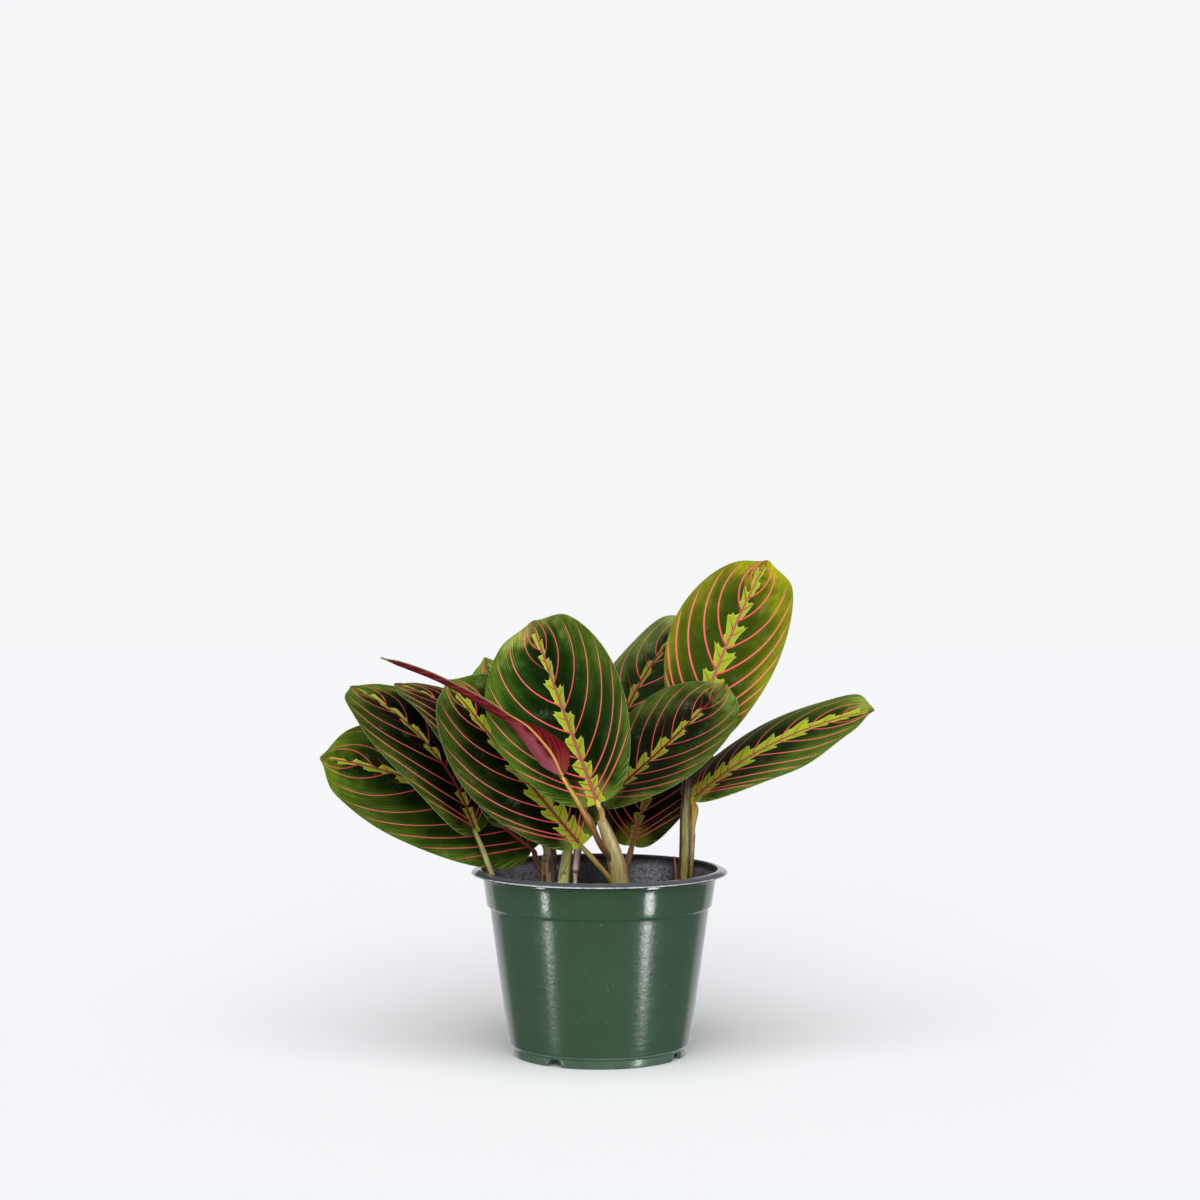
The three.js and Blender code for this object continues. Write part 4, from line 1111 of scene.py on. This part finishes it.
def pot_profile():
    """Corners of the pot's section, as (radius, height, rounding), from the middle of the
    underside out, up the outside, over the lip and down the inside. The last value is how far
    from the corner its rounding starts."""
    top, foot = POT["height"], POT["foot"]
    lip = top - POT["lip"]
    neck = lip - POT["neck"]
    ledge = top - POT["ledge"]
    inside = POT["foot_radius"] - POT["wall"]
    band = POT["band_height"]
    floor = foot + POT["floor"]
    return np.array([
        (0, 0, 0), (POT["pad"], 0, 0.4), (POT["pad"], foot, 0.4), (inside, foot, 0.3),
        (inside, 0, 0.3), (POT["foot_radius"], 0, 0.4), (POT["foot_radius"] + 0.3, foot, 0.25),
        (POT["wall_bottom"], foot + 1.2, 0.8), (POT["wall_top"], band - 0.6, 0.3),
        (POT["band_bottom"], band + 0.4, 0.45), (POT["band_top"], neck, 0.25),
        (POT["neck_radius"], neck + 0.7, 0.3), (POT["neck_radius"], lip, 0.3),
        (POT["rim"] - 0.15, lip + 0.1, 0.2), (POT["rim"], lip + 0.5, 0.25),
        (POT["rim"] - 1.6, top - 0.6, 0.8), (POT["crest"], top, 0.7),
        (POT["mouth"], top, 0.5), (POT["mouth"] - 0.1, ledge + 0.6, 0.3),
        (float(inner_radius(ledge)), ledge, 0.35), (float(inner_radius(band)), band, 0.5),
        (float(inner_radius(band - 1.2)), band - 1.2, 0.5),
        (float(inner_radius(floor)), floor, 1.2), (0, floor, 0)])


def rounded(profile):
    """The profile with each corner replaced by a parabola between two points beside it, and
    its long straight parts cut into lengths of at most 2.5 mm."""
    place, size = profile[:, :2], profile[1:-1, 2:3]
    back, on = place[:-2] - place[1:-1], place[2:] - place[1:-1]
    far_back, far_on = (np.linalg.norm(v, axis=1, keepdims=True) for v in (back, on))
    a = place[1:-1] + back / far_back * np.minimum(size, far_back * 0.45)
    b = place[1:-1] + on / far_on * np.minimum(size, far_on * 0.45)
    t = np.linspace(0, 1, 7)[None, :, None]
    corner = (1 - t) ** 2 * a[:, None] + 2 * t * (1 - t) * place[1:-1, None] + t ** 2 * b[:, None]
    line = np.concatenate([place[:1], corner.reshape(-1, 2), place[-1:]])
    way = np.concatenate([[0], np.cumsum(np.linalg.norm(np.diff(line, axis=0), axis=1))])
    extra = np.concatenate([np.linspace(s, e, int((e - s) // 2.5) + 2)[1:-1]
                            for s, e in zip(way[:-1], way[1:]) if e - s > 2.5])
    way_all = np.sort(np.concatenate([way, extra]))
    return np.stack([np.interp(way_all, way, line[:, k]) for k in range(2)], -1)


def build_pot(outside, inside):
    """The pot: its rounded profile turned about the Z axis. Between the notch angles the foot
    ring's lower edge lifts to the notch's height, and the ring above it closes up evenly."""
    line = rounded(pot_profile())
    notch = np.radians(NOTCHES["first"] + 360 / NOTCHES["count"] * np.arange(NOTCHES["count"]))
    wide, narrow = (math.asin(NOTCHES[key] / 2 / POT["foot_radius"]) for key in ("bottom", "top"))
    # Two turns that lie this close together, in radians, keep each corner of a notch crisp.
    crisp = 0.002
    offsets = np.array([-wide, -wide + crisp, -narrow - crisp, -narrow, narrow, narrow + crisp,
                        wide - crisp, wide])
    turns = np.concatenate([np.arange(0, 2 * math.pi, math.pi / 150),
                            (notch[:, None] + offsets).ravel() % (2 * math.pi)])
    turns = np.unique(np.round(turns, 6))
    apart = np.abs((turns[:, None] - notch + math.pi) % (2 * math.pi) - math.pi).min(1)
    lift = NOTCHES["height"] * np.clip((wide - apart) / (wide - narrow), 0, 1)
    radius, height = line[1:-1].T
    ring = (radius > POT["foot_radius"] - 3) & (height < POT["foot"]) & (
        np.arange(len(radius)) < len(radius) // 2)
    raised = np.where(ring[:, None], lift + height[:, None] * (1 - lift / POT["foot"]),
                      height[:, None] + 0 * lift)
    # A moulded wall is never quite round: it wanders by a tenth of a millimetre.
    wander = 0.1 * np.sin(3 * turns + 0.6) * ramp(height, 20, 70)[:, None] + 0 * lift
    reach = radius[:, None] + wander
    points = np.stack([reach * np.cos(turns), reach * np.sin(turns), raised], -1)
    count, sides = points.shape[:2]
    body, caps = (triangles(faces[:, ::-1]) for faces in tube(count, sides))
    # It is black from the edge of the lip on, and so is the second cap, which is its floor.
    start = int(np.argmax(radius > POT["rim"] - 0.1))
    black = np.repeat(np.arange(count - 1) >= start, sides)
    face_material = np.concatenate([black, black, np.zeros(sides), np.ones(sides)]).astype(int)
    ends = [(0, 0, line[0, 1]), (0, 0, line[-1, 1])]
    return make_piece("pot_shell", np.concatenate([points.reshape(-1, 3), ends]),
                      np.concatenate([body, caps]), [outside, inside], sharp=35,
                      face_material=face_material)


def soil_height(x, y):
    """Height of the soil: level, with a mound by the wall that grows with the cube of the
    distance from the middle and the fifth power of the cosine to its direction, and waves."""
    turn = np.cos(np.arctan2(y, x) - math.radians(SOIL["angle"]))
    mound = SOIL["rise"] * (np.hypot(x, y) / POT["wall_top"]) ** 3 * np.maximum(turn, 0) ** 5
    waves = np.sin(x * 0.9 + 1) * np.sin(y * 1.1) + np.sin(x * 0.37 - y * 0.51)
    return SOIL["level"] + mound + SOIL["crumb"] * waves


def build_soil(material):
    """The filling: a grid of rings, whose surface has the soil's height less 0.4 mm plus noise
    of 9, 3.6 and 1.6 mm, and then goes down the wall to the floor of the pot."""
    rings, sides = 120, 360
    edge = float(inner_radius(SOIL["level"])) - SOIL["gap"]
    radius = edge * (np.linspace(0, 1, rings + 1)[1:, None] ** 0.8)
    turn = np.linspace(0, 2 * math.pi, sides, endpoint=False)[None]
    x, y = radius * np.cos(turn), radius * np.sin(turn)
    flat = np.stack([x, y, 0 * x], -1)
    rough = 0.7 * lumps(flat, 9, 3) + 0.5 * np.abs(lumps(flat, 3.6, 4)) + 0.3 * np.abs(
        lumps(flat, 1.6, 5))
    z = soil_height(x, y) + rough * (1 - ramp(radius / edge, 0.97, 1.0)) - 0.4
    shoulder, low = POT["band_height"] - 1.2, POT["foot"] + POT["floor"] + 0.3
    lower = [np.stack([r * np.cos(turn[0]), r * np.sin(turn[0]), h + 0 * turn[0]], -1)
             for r, h in ((float(inner_radius(shoulder)) - SOIL["gap"], shoulder),
                          (float(inner_radius(low)) - SOIL["gap"], low))]
    grid = np.concatenate([np.stack([x, y, z], -1), lower])
    faces = np.concatenate(tube(len(grid), sides))[:, ::-1]
    ends = [(0, 0, float(soil_height(0.0, 0.0))), (0, 0, low)]
    return make_piece("soil_filling", np.concatenate([grid.reshape(-1, 3), ends]),
                      triangles(faces), [material])


def build_floor(material):
    """A plain floor: a flat square of 12 m, cut into a grid, just under the pot's foot."""
    steps = np.linspace(-6000, 6000, 25)
    x, y = np.meshgrid(steps, steps, indexing="ij")
    index = np.arange(x.size).reshape(x.shape)
    piece = make_piece("floor", np.stack([x, y, 0 * x - 0.05], -1).reshape(-1, 3),
                       quads(index)[:, ::-1], [material])
    piece.visible_glossy = False
    piece.visible_shadow = False


def ball():
    """A ball of 42 points and 80 faces: a cut icosahedron with its points pushed out to one."""
    mesh = bpy.data.meshes.new("ball")
    work = bmesh.new()
    bmesh.ops.create_icosphere(work, subdivisions=2, radius=1.0)
    work.to_mesh(mesh)
    work.free()
    points = np.empty(len(mesh.vertices) * 3)
    mesh.vertices.foreach_get("co", points)
    corners = np.empty(len(mesh.loops), int)
    mesh.loops.foreach_get("vertex_index", corners)
    bpy.data.meshes.remove(mesh)
    return points.reshape(-1, 3), corners.reshape(-1, 3)


def scatter(name, places, sizes, stretch, material, seed):
    """Many small lumps in one mesh: each is a ball that is dented by noise, stretched along
    its own axes, turned at random and set in place, worked out for all of them at once."""
    rng = np.random.default_rng(seed)
    points, faces = ball()
    count = len(places)
    dents = 1 + 0.22 * np.stack([lumps(points + k * 3.7, 1.3, seed + k, 2) for k in range(6)])
    shapes = points * dents[rng.integers(0, 6, count)][..., None]
    shapes = shapes * (1 + (np.array(stretch) - 1) * rng.uniform(0.6, 1.1, (count, 1)))[:, None]
    a, b = rng.uniform(0, 2 * math.pi, (2, count))
    b = b * 0.12
    zero, one = 0 * a, 0 * a + 1
    about_z = np.array([[np.cos(a), -np.sin(a), zero], [np.sin(a), np.cos(a), zero],
                        [zero, zero, one]]).transpose(2, 0, 1)
    about_x = np.array([[one, zero, zero], [zero, np.cos(b), -np.sin(b)],
                        [zero, np.sin(b), np.cos(b)]]).transpose(2, 0, 1)
    turned = np.einsum("nij,njk,npk->npi", about_z, about_x, shapes)
    grid = turned * np.asarray(sizes)[:, None, None] + np.asarray(places)[:, None]
    index = faces[None] + (np.arange(count) * len(points))[:, None, None]
    return make_piece(name, grid.reshape(-1, 3), index.reshape(-1, 3), [material])


# ------------------------------------------------------------------ pot, soil and floor skins

def pot_plastic(look):
    """Polypropylene, injection moulded in a polished mould and coloured green.

    To the eye: dark blue-green and glossy, with a faint orange-peel ripple that breaks up the
    long highlights, a few fine scuffs and specks of dust.
    """
    material, tree, shader = new_material("Polypropylene, glossy green", {
        "IOR": 1.49, "Roughness": 0.2})
    place = object_place(tree)
    clouds = noise(tree, place, 35.0, 4.0)
    tone = blend(tree, clouds, look.green[:], look.green_pale[:])
    # Dust, whose specks are 0.5 mm across.
    dust = noise(tree, place, 900.0)
    tone = blend(tree, remap(tree, dust, 0.7, 0.76, 0.0, 0.25), tone, linear("#a9ad9c"))
    # A painted shadow darkens the recess under the lip, and painted highlights pale the foot and its
    # shoulder in patches.
    # Each line has its height, half its width, its strength, its colour and if it is patchy.
    height = add(tree, "ShaderNodeSeparateXYZ", {0: place}).outputs["Z"]
    for middle, half, strength, colour, patchy in (
            # painted shadow in the recess under the lip
            (POT["height"] - 2.5, 0.6, 0.9, "#0a120a", False),
            # painted highlights on the foot's shoulder and on its ring
            (POT["foot"] + 1, 0.4, 0.55, "#9ab8a8", True),
            (2, 2.2, 0.4, "#7f9c8c", True)):
        apart = maths(tree, "ABSOLUTE", maths(tree, "SUBTRACT", height, middle * MM))
        on = remap(tree, apart, half * 1.3 * MM, half * 0.7 * MM, 0.0, strength)
        if patchy:
            on = maths(tree, "MULTIPLY", on, clouds)
        tone = blend(tree, on, tone, linear(colour))
    # Scuffs run round the pot, 1 mm high and 17 mm long. The band at the top was polished
    # more in the mould.
    scuffs = noise(tree, stretched(tree, place, (60, 60, 900)), 1.0, 5.0, 0.7)
    polish = remap(tree, height, 71 * MM, 75 * MM, 1.0, 0.68)
    gloss = maths(tree, "MULTIPLY", remap(tree, scuffs, 0.35, 0.75, 0.15, 0.29), polish)
    peel = bump(tree, noise(tree, place, 420.0), 0.12, 0.4)
    plug(tree, shader, {"Base Color": tone, "Roughness": gloss,
                        "Normal": bump(tree, dust, 0.12, 0.1, peel)})
    return material


def pot_inside(look):
    """The same polypropylene, left black on the inside and the lip.

    To the eye: black and glossy, with splashes of dried soil, a grey film below the lip that is
    partly one water left and partly painted reflection, with two brighter patches at the back that
    are painted reflections of the strip lights, a top to the lip painted greyer as a sheen, and a
    painted highlight along the lip's rounded edge as a silvery line.
    """
    material, tree, shader = new_material("Polypropylene, black inside", {
        "IOR": 1.49, "Roughness": 0.25})
    place = object_place(tree)
    height = add(tree, "ShaderNodeSeparateXYZ", {0: place}).outputs["Z"]
    # The dirt lies low on the wall, in splashes of 3 mm, and the lip stays clean.
    splashes = noise(tree, place, 330.0, 4.0, 0.65)
    smear = noise(tree, place, 45.0, 3.0)
    both = maths(tree, "SUBTRACT", maths(tree, "ADD", splashes, smear),
                 remap(tree, height, 74 * MM, 88 * MM, 0.0, 0.3))
    # Below the lip lies a grey film, partly one that water left and partly painted reflection,
    # in small patches all round. Two large patches at the back, brightest in their middles, are
    # painted reflections of the two strip lights. Fine specks break it up.
    film_and_reflection = remap(tree, smear, 0.42, 0.62, 0.1, 0.6)
    for x, y, z, size in ((-38, 41, 83, 20), (25, 49, 82, 17)):
        away = add(tree, "ShaderNodeVectorMath", {0: place, 1: (x * MM, y * MM, z * MM)},
                   operation="DISTANCE").outputs["Value"]
        film_and_reflection = maths(tree, "MAXIMUM", film_and_reflection, remap(tree, away, size * MM, size * 0.3 * MM))
    specks = remap(tree, noise(tree, place, 700.0, 4.0, 0.7), 0.36, 0.56, 0.3)
    film_and_reflection = maths(tree, "MULTIPLY", film_and_reflection, specks)
    film_and_reflection = maths(tree, "MULTIPLY", film_and_reflection, remap(tree, height, 89.5 * MM, 86 * MM))
    # The top of the lip is painted greyer as a sheen, and a painted highlight runs along its
    # rounded edge as a patchy silvery line.
    lip = remap(tree, height, 89.3 * MM, 90.6 * MM, 0.0, 0.25)
    tone = blend(tree, lip, look.black[:], linear("#8e96a2"))
    tone = blend(tree, film_and_reflection, tone, linear("#c2c6d0"))
    flat = add(tree, "ShaderNodeVectorMath", {0: place, 1: (1, 1, 0)}, operation="MULTIPLY")
    out = add(tree, "ShaderNodeVectorMath", {0: flat.outputs[0]}, operation="LENGTH")
    lip_highlight = remap(tree, out.outputs["Value"], 62.8 * MM, 63.4 * MM)
    lip_highlight = maths(tree, "MULTIPLY", lip_highlight, remap(tree, splashes, 0.36, 0.56, 0.35))
    tone = blend(tree, lip_highlight, tone, linear("#c4cac8"))
    tone = blend(tree, remap(tree, both, 1.1, 1.2), tone, linear("#4a382a"))
    plug(tree, shader, {
        "Base Color": tone, "Roughness": remap(tree, both, 0.85, 1.25, 0.14, 0.6),
        "Normal": bump(tree, both, 0.25, 0.2)})
    return material


def earth(name, dark, pale, roughness, grain):
    """Peat mix, or one of the things in it: crumbly, dull and a little moist.

    To the eye: mottled between two colours, in cells twice its grain in mm, and rough all over.
    """
    material, tree, shader = new_material(name, {"Roughness": roughness})
    mottle = noise(tree, object_place(tree), 1 / (2 * grain * MM), 5.0, 0.7)
    tone = blend(tree, remap(tree, mottle, 0.35, 0.68), linear(dark), linear(pale))
    plug(tree, shader, {"Base Color": tone, "Normal": bump(tree, mottle, 0.8, 0.6)})
    return material


def paper(look):
    """Seamless background paper, uncoated.

    To the eye: pale, even and quite matt, with a fibre of 2.5 mm that hardly shows.
    """
    material, tree, shader = new_material("Seamless paper, pale", {
        "Roughness": 0.9, "Specular IOR Level": 0.0})
    fibre = noise(tree, object_place(tree), 400.0, 3.0)
    plug(tree, shader, {"Base Color": blend(tree, fibre, look.floor[:], linear("#f9fafc"))})
    return material


# ------------------------------------------------------------------ settings

def colour_setting(name, description, code):
    """A colour property whose default is an sRGB hex code."""
    return bpy.props.FloatVectorProperty(
        name=name, description=description, subtype="COLOR", size=4, min=0, max=1,
        default=linear(code))


class LeafSettings(bpy.types.PropertyGroup):
    """Colours of the leaves."""

    streak: colour_setting("Streaks", "Fine pale lines beside the veins", "#a3a83c")
    marks: colour_setting("Water marks", "Dry water marks on the upper skin", "#98a288")
    figure: colour_setting("Figure", "Pale figure along the midrib", "#b4be30")
    figure_deep: colour_setting("Figure, deep", "Darker grain of the figure", "#84a01e")
    figure_rim: colour_setting("Figure, edge", "Pale edge of the figure", "#d6da6c")
    figure_dull: colour_setting("Figure, dull", "The figure of a shaded leaf", "#6a7628")
    vein: colour_setting("Veins", "Main veins in the middle of the blade", "#fb5460")
    vein_deep: colour_setting("Veins, deep", "Main veins beside the midrib", "#941828")
    vein_pale: colour_setting("Veins, pale", "Main veins near the margin", "#ee7872")
    midrib: colour_setting("Midrib", "Middle of the midrib", "#b4686a")
    aged: colour_setting("Midrib, aged", "Midrib of an older leaf", "#601f22")
    border: colour_setting("Margin", "Thin line along the margin", "#8c9a70")
    under: colour_setting("Underside", "Underside of the open leaves", "#5c1a28")
    under_pale: colour_setting("Underside, pale", "Paler lines of the underside", "#7d3040")
    under_vein: colour_setting("Underside veins", "Veins seen from below", "#96505a")
    young_rib: colour_setting("Young midrib", "Midrib of the rolled leaf", "#c08a48")


class PotSettings(bpy.types.PropertyGroup):
    """Colours of the pot and how much lies loose on the soil."""

    green: colour_setting("Green", "Outside of the pot", "#2c462f")
    green_pale: colour_setting("Green, pale", "Paler clouds in the green", "#36513b")
    black: colour_setting("Black", "Inside of the pot and its lip", "#25262a")
    crumbs: bpy.props.IntProperty(
        name="Crumbs", description="Loose crumbs on the soil", default=900, min=0, max=3000)
    splashes: bpy.props.IntProperty(
        name="Splashes", description="Grains of soil that stick to the inner wall",
        default=260, min=0, max=1000)


class StageSettings(bpy.types.PropertyGroup):
    """Camera, floor and light."""

    distance: bpy.props.FloatProperty(
        name="Camera distance", description="From the pot's axis to the camera",
        default=1.135, min=0.2, unit="LENGTH")
    height: bpy.props.FloatProperty(
        name="Camera height", description="Height of the camera over the floor",
        default=0.2345, min=0, unit="LENGTH")
    pitch: bpy.props.FloatProperty(
        name="Camera pitch", description="How far the camera looks down",
        default=0.0096, subtype="ANGLE")
    lens: bpy.props.FloatProperty(
        name="Lens", description="Focal length on a 36 mm wide frame", default=68.83, min=10)
    fill: bpy.props.FloatProperty(
        name="Fill light", description="Light that comes from all round", default=0.3, min=0)
    above: bpy.props.FloatProperty(
        name="Light above", description="Strength of the soft light above", default=2.3, min=0)
    front: bpy.props.FloatProperty(
        name="Light in front", description="Strength of the soft light beside the camera",
        default=1.0, min=0)
    strips: bpy.props.FloatProperty(
        name="Strips", description="Power of the two strip lights", default=10, min=0,
        unit="POWER")
    wall: bpy.props.FloatProperty(
        name="Wall behind", description="Power of the bright wall behind the plant",
        default=13, min=0, unit="POWER")
    room: colour_setting("Room", "Colour of the background and the soft light", "#f6f7f9")
    floor: colour_setting("Floor", "Colour of the floor", "#f4f5f7")


class PlantSettings(bpy.types.PropertyGroup):
    """All settings of the potted plant."""

    leaf: bpy.props.PointerProperty(type=LeafSettings)
    pot: bpy.props.PointerProperty(type=PotSettings)
    stage: bpy.props.PointerProperty(type=StageSettings)


# ------------------------------------------------------------------ operators

class PLANT_OT_pot(bpy.types.Operator):
    """Builds the pot"""

    bl_idname = "prayer_plant.pot"
    bl_label = "Pot"

    def execute(self, context):
        look = context.scene.prayer_plant.pot
        seat(build_pot(pot_plastic(look), pot_inside(look)), "pot_plastic", "pot")
        return {"FINISHED"}


class PLANT_OT_soil(bpy.types.Operator):
    """Builds the soil, its loose crumbs, white grains and chips, and the splashes on the wall"""

    bl_idname = "prayer_plant.soil"
    bl_label = "Soil"

    def execute(self, context):
        look = context.scene.prayer_plant.pot
        peat = earth("Peat mix, moist", "#1b1410", "#4c3a2a", 0.85, 1.2)
        seat(build_soil(peat), "soil", "soil")
        rng = np.random.default_rng(12)
        feet = np.array([(x, y, r) for stalks in SHOOTS.values() for stalk in stalks
                         for x, y, z, r in stalk["points"] if z < 90])

        def clear(x, y, size):
            gap = np.hypot(x[:, None] - feet[:, 0], y[:, None] - feet[:, 1]) - feet[:, 2]
            return gap.min(1) > size + 0.4

        edge = float(inner_radius(SOIL["level"])) - 3
        for name, count, low, high, stretch, colours, seed in (
                ("soil_crumbs", look.crumbs, 0.4, 1.5, (1.3, 1, 0.8), ("#16100c", "#57402c"), 1),
                ("white_grains", 46, 0.5, 1.3, (1.2, 1, 0.8), ("#b9b4a4", "#ece8dc"), 2),
                ("bark_chips", 60, 0.5, 1.1, (3.4, 1.5, 0.5), ("#4a2c18", "#9a6238"), 3)):
            reach = edge * rng.uniform(0, 1, count) ** 0.5
            turn = rng.uniform(0, 2 * math.pi, count)
            size = low + (high - low) * rng.uniform(0, 1, count) ** 2.5
            x, y = reach * np.cos(turn), reach * np.sin(turn)
            keep = clear(x, y, size * stretch[0])
            places = np.stack([x, y, soil_height(x, y) + size * 0.1], -1)[keep]
            grains = earth(name.replace("_", " ").capitalize(), *colours, 0.8, 0.6)
            seat(scatter(name, places, size[keep], stretch, grains, seed), "soil")
        # Grains of soil stick to the inner wall above the filling, most of them low down.
        count = look.splashes
        turn = rng.uniform(0, 2 * math.pi, count)
        high = 76 + 9.5 * rng.uniform(0, 1, count) ** 1.6
        reach = inner_radius(high) - 0.12
        places = np.stack([reach * np.cos(turn), reach * np.sin(turn), high], -1)
        grains = earth("Soil grains on the wall", "#2c2018", "#8a6a4c", 0.6, 0.5)
        seat(scatter("wall_grains", places, 0.12 + 0.4 * rng.uniform(0, 1, count) ** 3,
                     (1.2, 1, 1), grains, 5), "soil")
        return {"FINISHED"}


class PLANT_OT_shoots(bpy.types.Operator):
    """Builds the shoots with their leaf stalks, and the dry strand"""

    bl_idname = "prayer_plant.shoots"
    bl_label = "Shoots"

    def execute(self, context):
        fresh = stalk_skin("Maranta stalk, fresh", 0.36, 0.42)
        dry = stalk_skin("Maranta stalk, dry fibre", 0.8, 0.5)
        for k, (name, stalks) in enumerate(SHOOTS.items()):
            skin = dry if name == "dry_strand" else fresh
            seat(build_shoot(name, stalks, skin, 20 + 7 * k),
                 SHOOT_SLOTS.get(name, "green_stalk"), name)
        return {"FINISHED"}


class PLANT_OT_leaves(bpy.types.Operator):
    """Builds the eleven open leaves"""

    bl_idname = "prayer_plant.leaves"
    bl_label = "Open leaves"

    def execute(self, context):
        look = context.scene.prayer_plant.leaf
        skins = [leaf_upper(look), leaf_under(look)]
        for k, (name, leaf) in enumerate(LEAVES.items()):
            slot = "bright_leaf" if name in ("leaf_01", "leaf_08") else "dark_leaf"
            seat(build_leaf(name, leaf, skins, 100 + k), slot, name)
        return {"FINISHED"}


class PLANT_OT_rolled_leaf(bpy.types.Operator):
    """Builds the new leaf that is still rolled up"""

    bl_idname = "prayer_plant.rolled_leaf"
    bl_label = "Rolled leaf"

    def execute(self, context):
        look = context.scene.prayer_plant.leaf
        piece = build_rolled_leaf("leaf_06_rolled", rolled_skin(look), young_upper())
        seat(piece, "rolled_leaf", "leaf_06")
        return {"FINISHED"}


class PLANT_OT_stage(bpy.types.Operator):
    """Sets up the floor, the soft light and the camera"""

    bl_idname = "prayer_plant.stage"
    bl_label = "Stage"

    def execute(self, context):
        look = context.scene.prayer_plant.stage
        scene = context.scene
        scene.view_settings.view_transform = "Standard"
        build_floor(paper(look))
        world = scene.world or bpy.data.worlds.new("Room")
        scene.world = world
        world.use_nodes = True
        tree = world.node_tree
        soft = tree.nodes["Background"]
        soft.inputs["Color"].default_value = look.room
        soft.inputs["Strength"].default_value = look.fill
        seen = add(tree, "ShaderNodeBackground", {"Color": look.room[:], "Strength": 1.0})
        which = add(tree, "ShaderNodeLightPath")
        both = add(tree, "ShaderNodeMixShader", {
            0: which.outputs["Is Camera Ray"], 1: soft.outputs[0], 2: seen.outputs[0]})
        tree.links.new(both.outputs[0], tree.nodes["World Output"].inputs["Surface"])
        for name, strength, spread, tilt in (("Soft light above", look.above, 80, 30),
                                             ("Soft light in front", look.front, 50, 76)):
            lamp = add_object(name, bpy.data.lights.new(name, "SUN"), (0, 0, 0),
                              (math.radians(tilt), 0, 0))
            lamp.data.energy, lamp.data.angle = strength, math.radians(spread)
            lamp.visible_glossy = False
        # The strips and the wall behind only show in glossy skins. They reach below the floor,
        # which those skins don't mirror, because the wall of the pot leans and faces down.
        for name, azimuth, distance, height, size, power in (
                ("Strip on the left", -56.8, 1.5, -0.07, (0.16, 1.0), look.strips * 0.85),
                ("Strip on the right", 52.2, 1.5, -0.07, (0.21, 1.0), look.strips * 1.7),
                ("Bright wall behind", 180, 1.6, -0.35, (3.4, 1.7), look.wall)):
            turn = math.radians(azimuth)
            place = (math.sin(turn) * distance, -math.cos(turn) * distance, height)
            lamp = add_object(name, bpy.data.lights.new(name, "AREA"), place,
                              (math.pi / 2, 0, turn))
            lamp.data.shape = "RECTANGLE"
            lamp.data.size, lamp.data.size_y = size
            lamp.data.energy = power
            lamp.visible_diffuse = lamp.visible_camera = False
        lens = bpy.data.cameras.new("Camera")
        lens.sensor_width = 36
        lens.lens = look.lens
        lens.clip_start, lens.clip_end = 0.05, 60
        lens.shift_x = 0.0005
        scene.camera = add_object("Camera", lens, (0, -look.distance, look.height),
                                  (math.pi / 2 - look.pitch, 0, 0))
        return {"FINISHED"}


class PLANT_PT_panel(bpy.types.Panel):
    """The plant's settings and the operators that build it"""

    bl_idname = "PLANT_PT_panel"
    bl_label = "Prayer plant"
    bl_space_type = "VIEW_3D"
    bl_region_type = "UI"
    bl_category = "Prayer plant"

    def draw(self, context):
        settings = context.scene.prayer_plant
        for group in (settings.leaf, settings.pot, settings.stage):
            box = self.layout.box()
            for key in group.bl_rna.properties.keys():
                if key not in ("rna_type", "name"):
                    box.prop(group, key)
        for operator in OPERATORS:
            self.layout.operator(operator.bl_idname)


OPERATORS = (PLANT_OT_pot, PLANT_OT_soil, PLANT_OT_shoots, PLANT_OT_leaves,
             PLANT_OT_rolled_leaf, PLANT_OT_stage)
CLASSES = (LeafSettings, PotSettings, StageSettings, PlantSettings, *OPERATORS, PLANT_PT_panel)


def register():
    for item in CLASSES:
        bpy.utils.register_class(item)
    bpy.types.Scene.prayer_plant = bpy.props.PointerProperty(type=PlantSettings)


def unregister():
    del bpy.types.Scene.prayer_plant
    for item in reversed(CLASSES):
        bpy.utils.unregister_class(item)


def main():
    """Registers the add-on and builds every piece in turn."""
    register()
    bpy.ops.prayer_plant.pot()
    bpy.ops.prayer_plant.soil()
    bpy.ops.prayer_plant.shoots()
    bpy.ops.prayer_plant.leaves()
    bpy.ops.prayer_plant.rolled_leaf()
    bpy.ops.prayer_plant.stage()


if __name__ == "__main__":
    main()
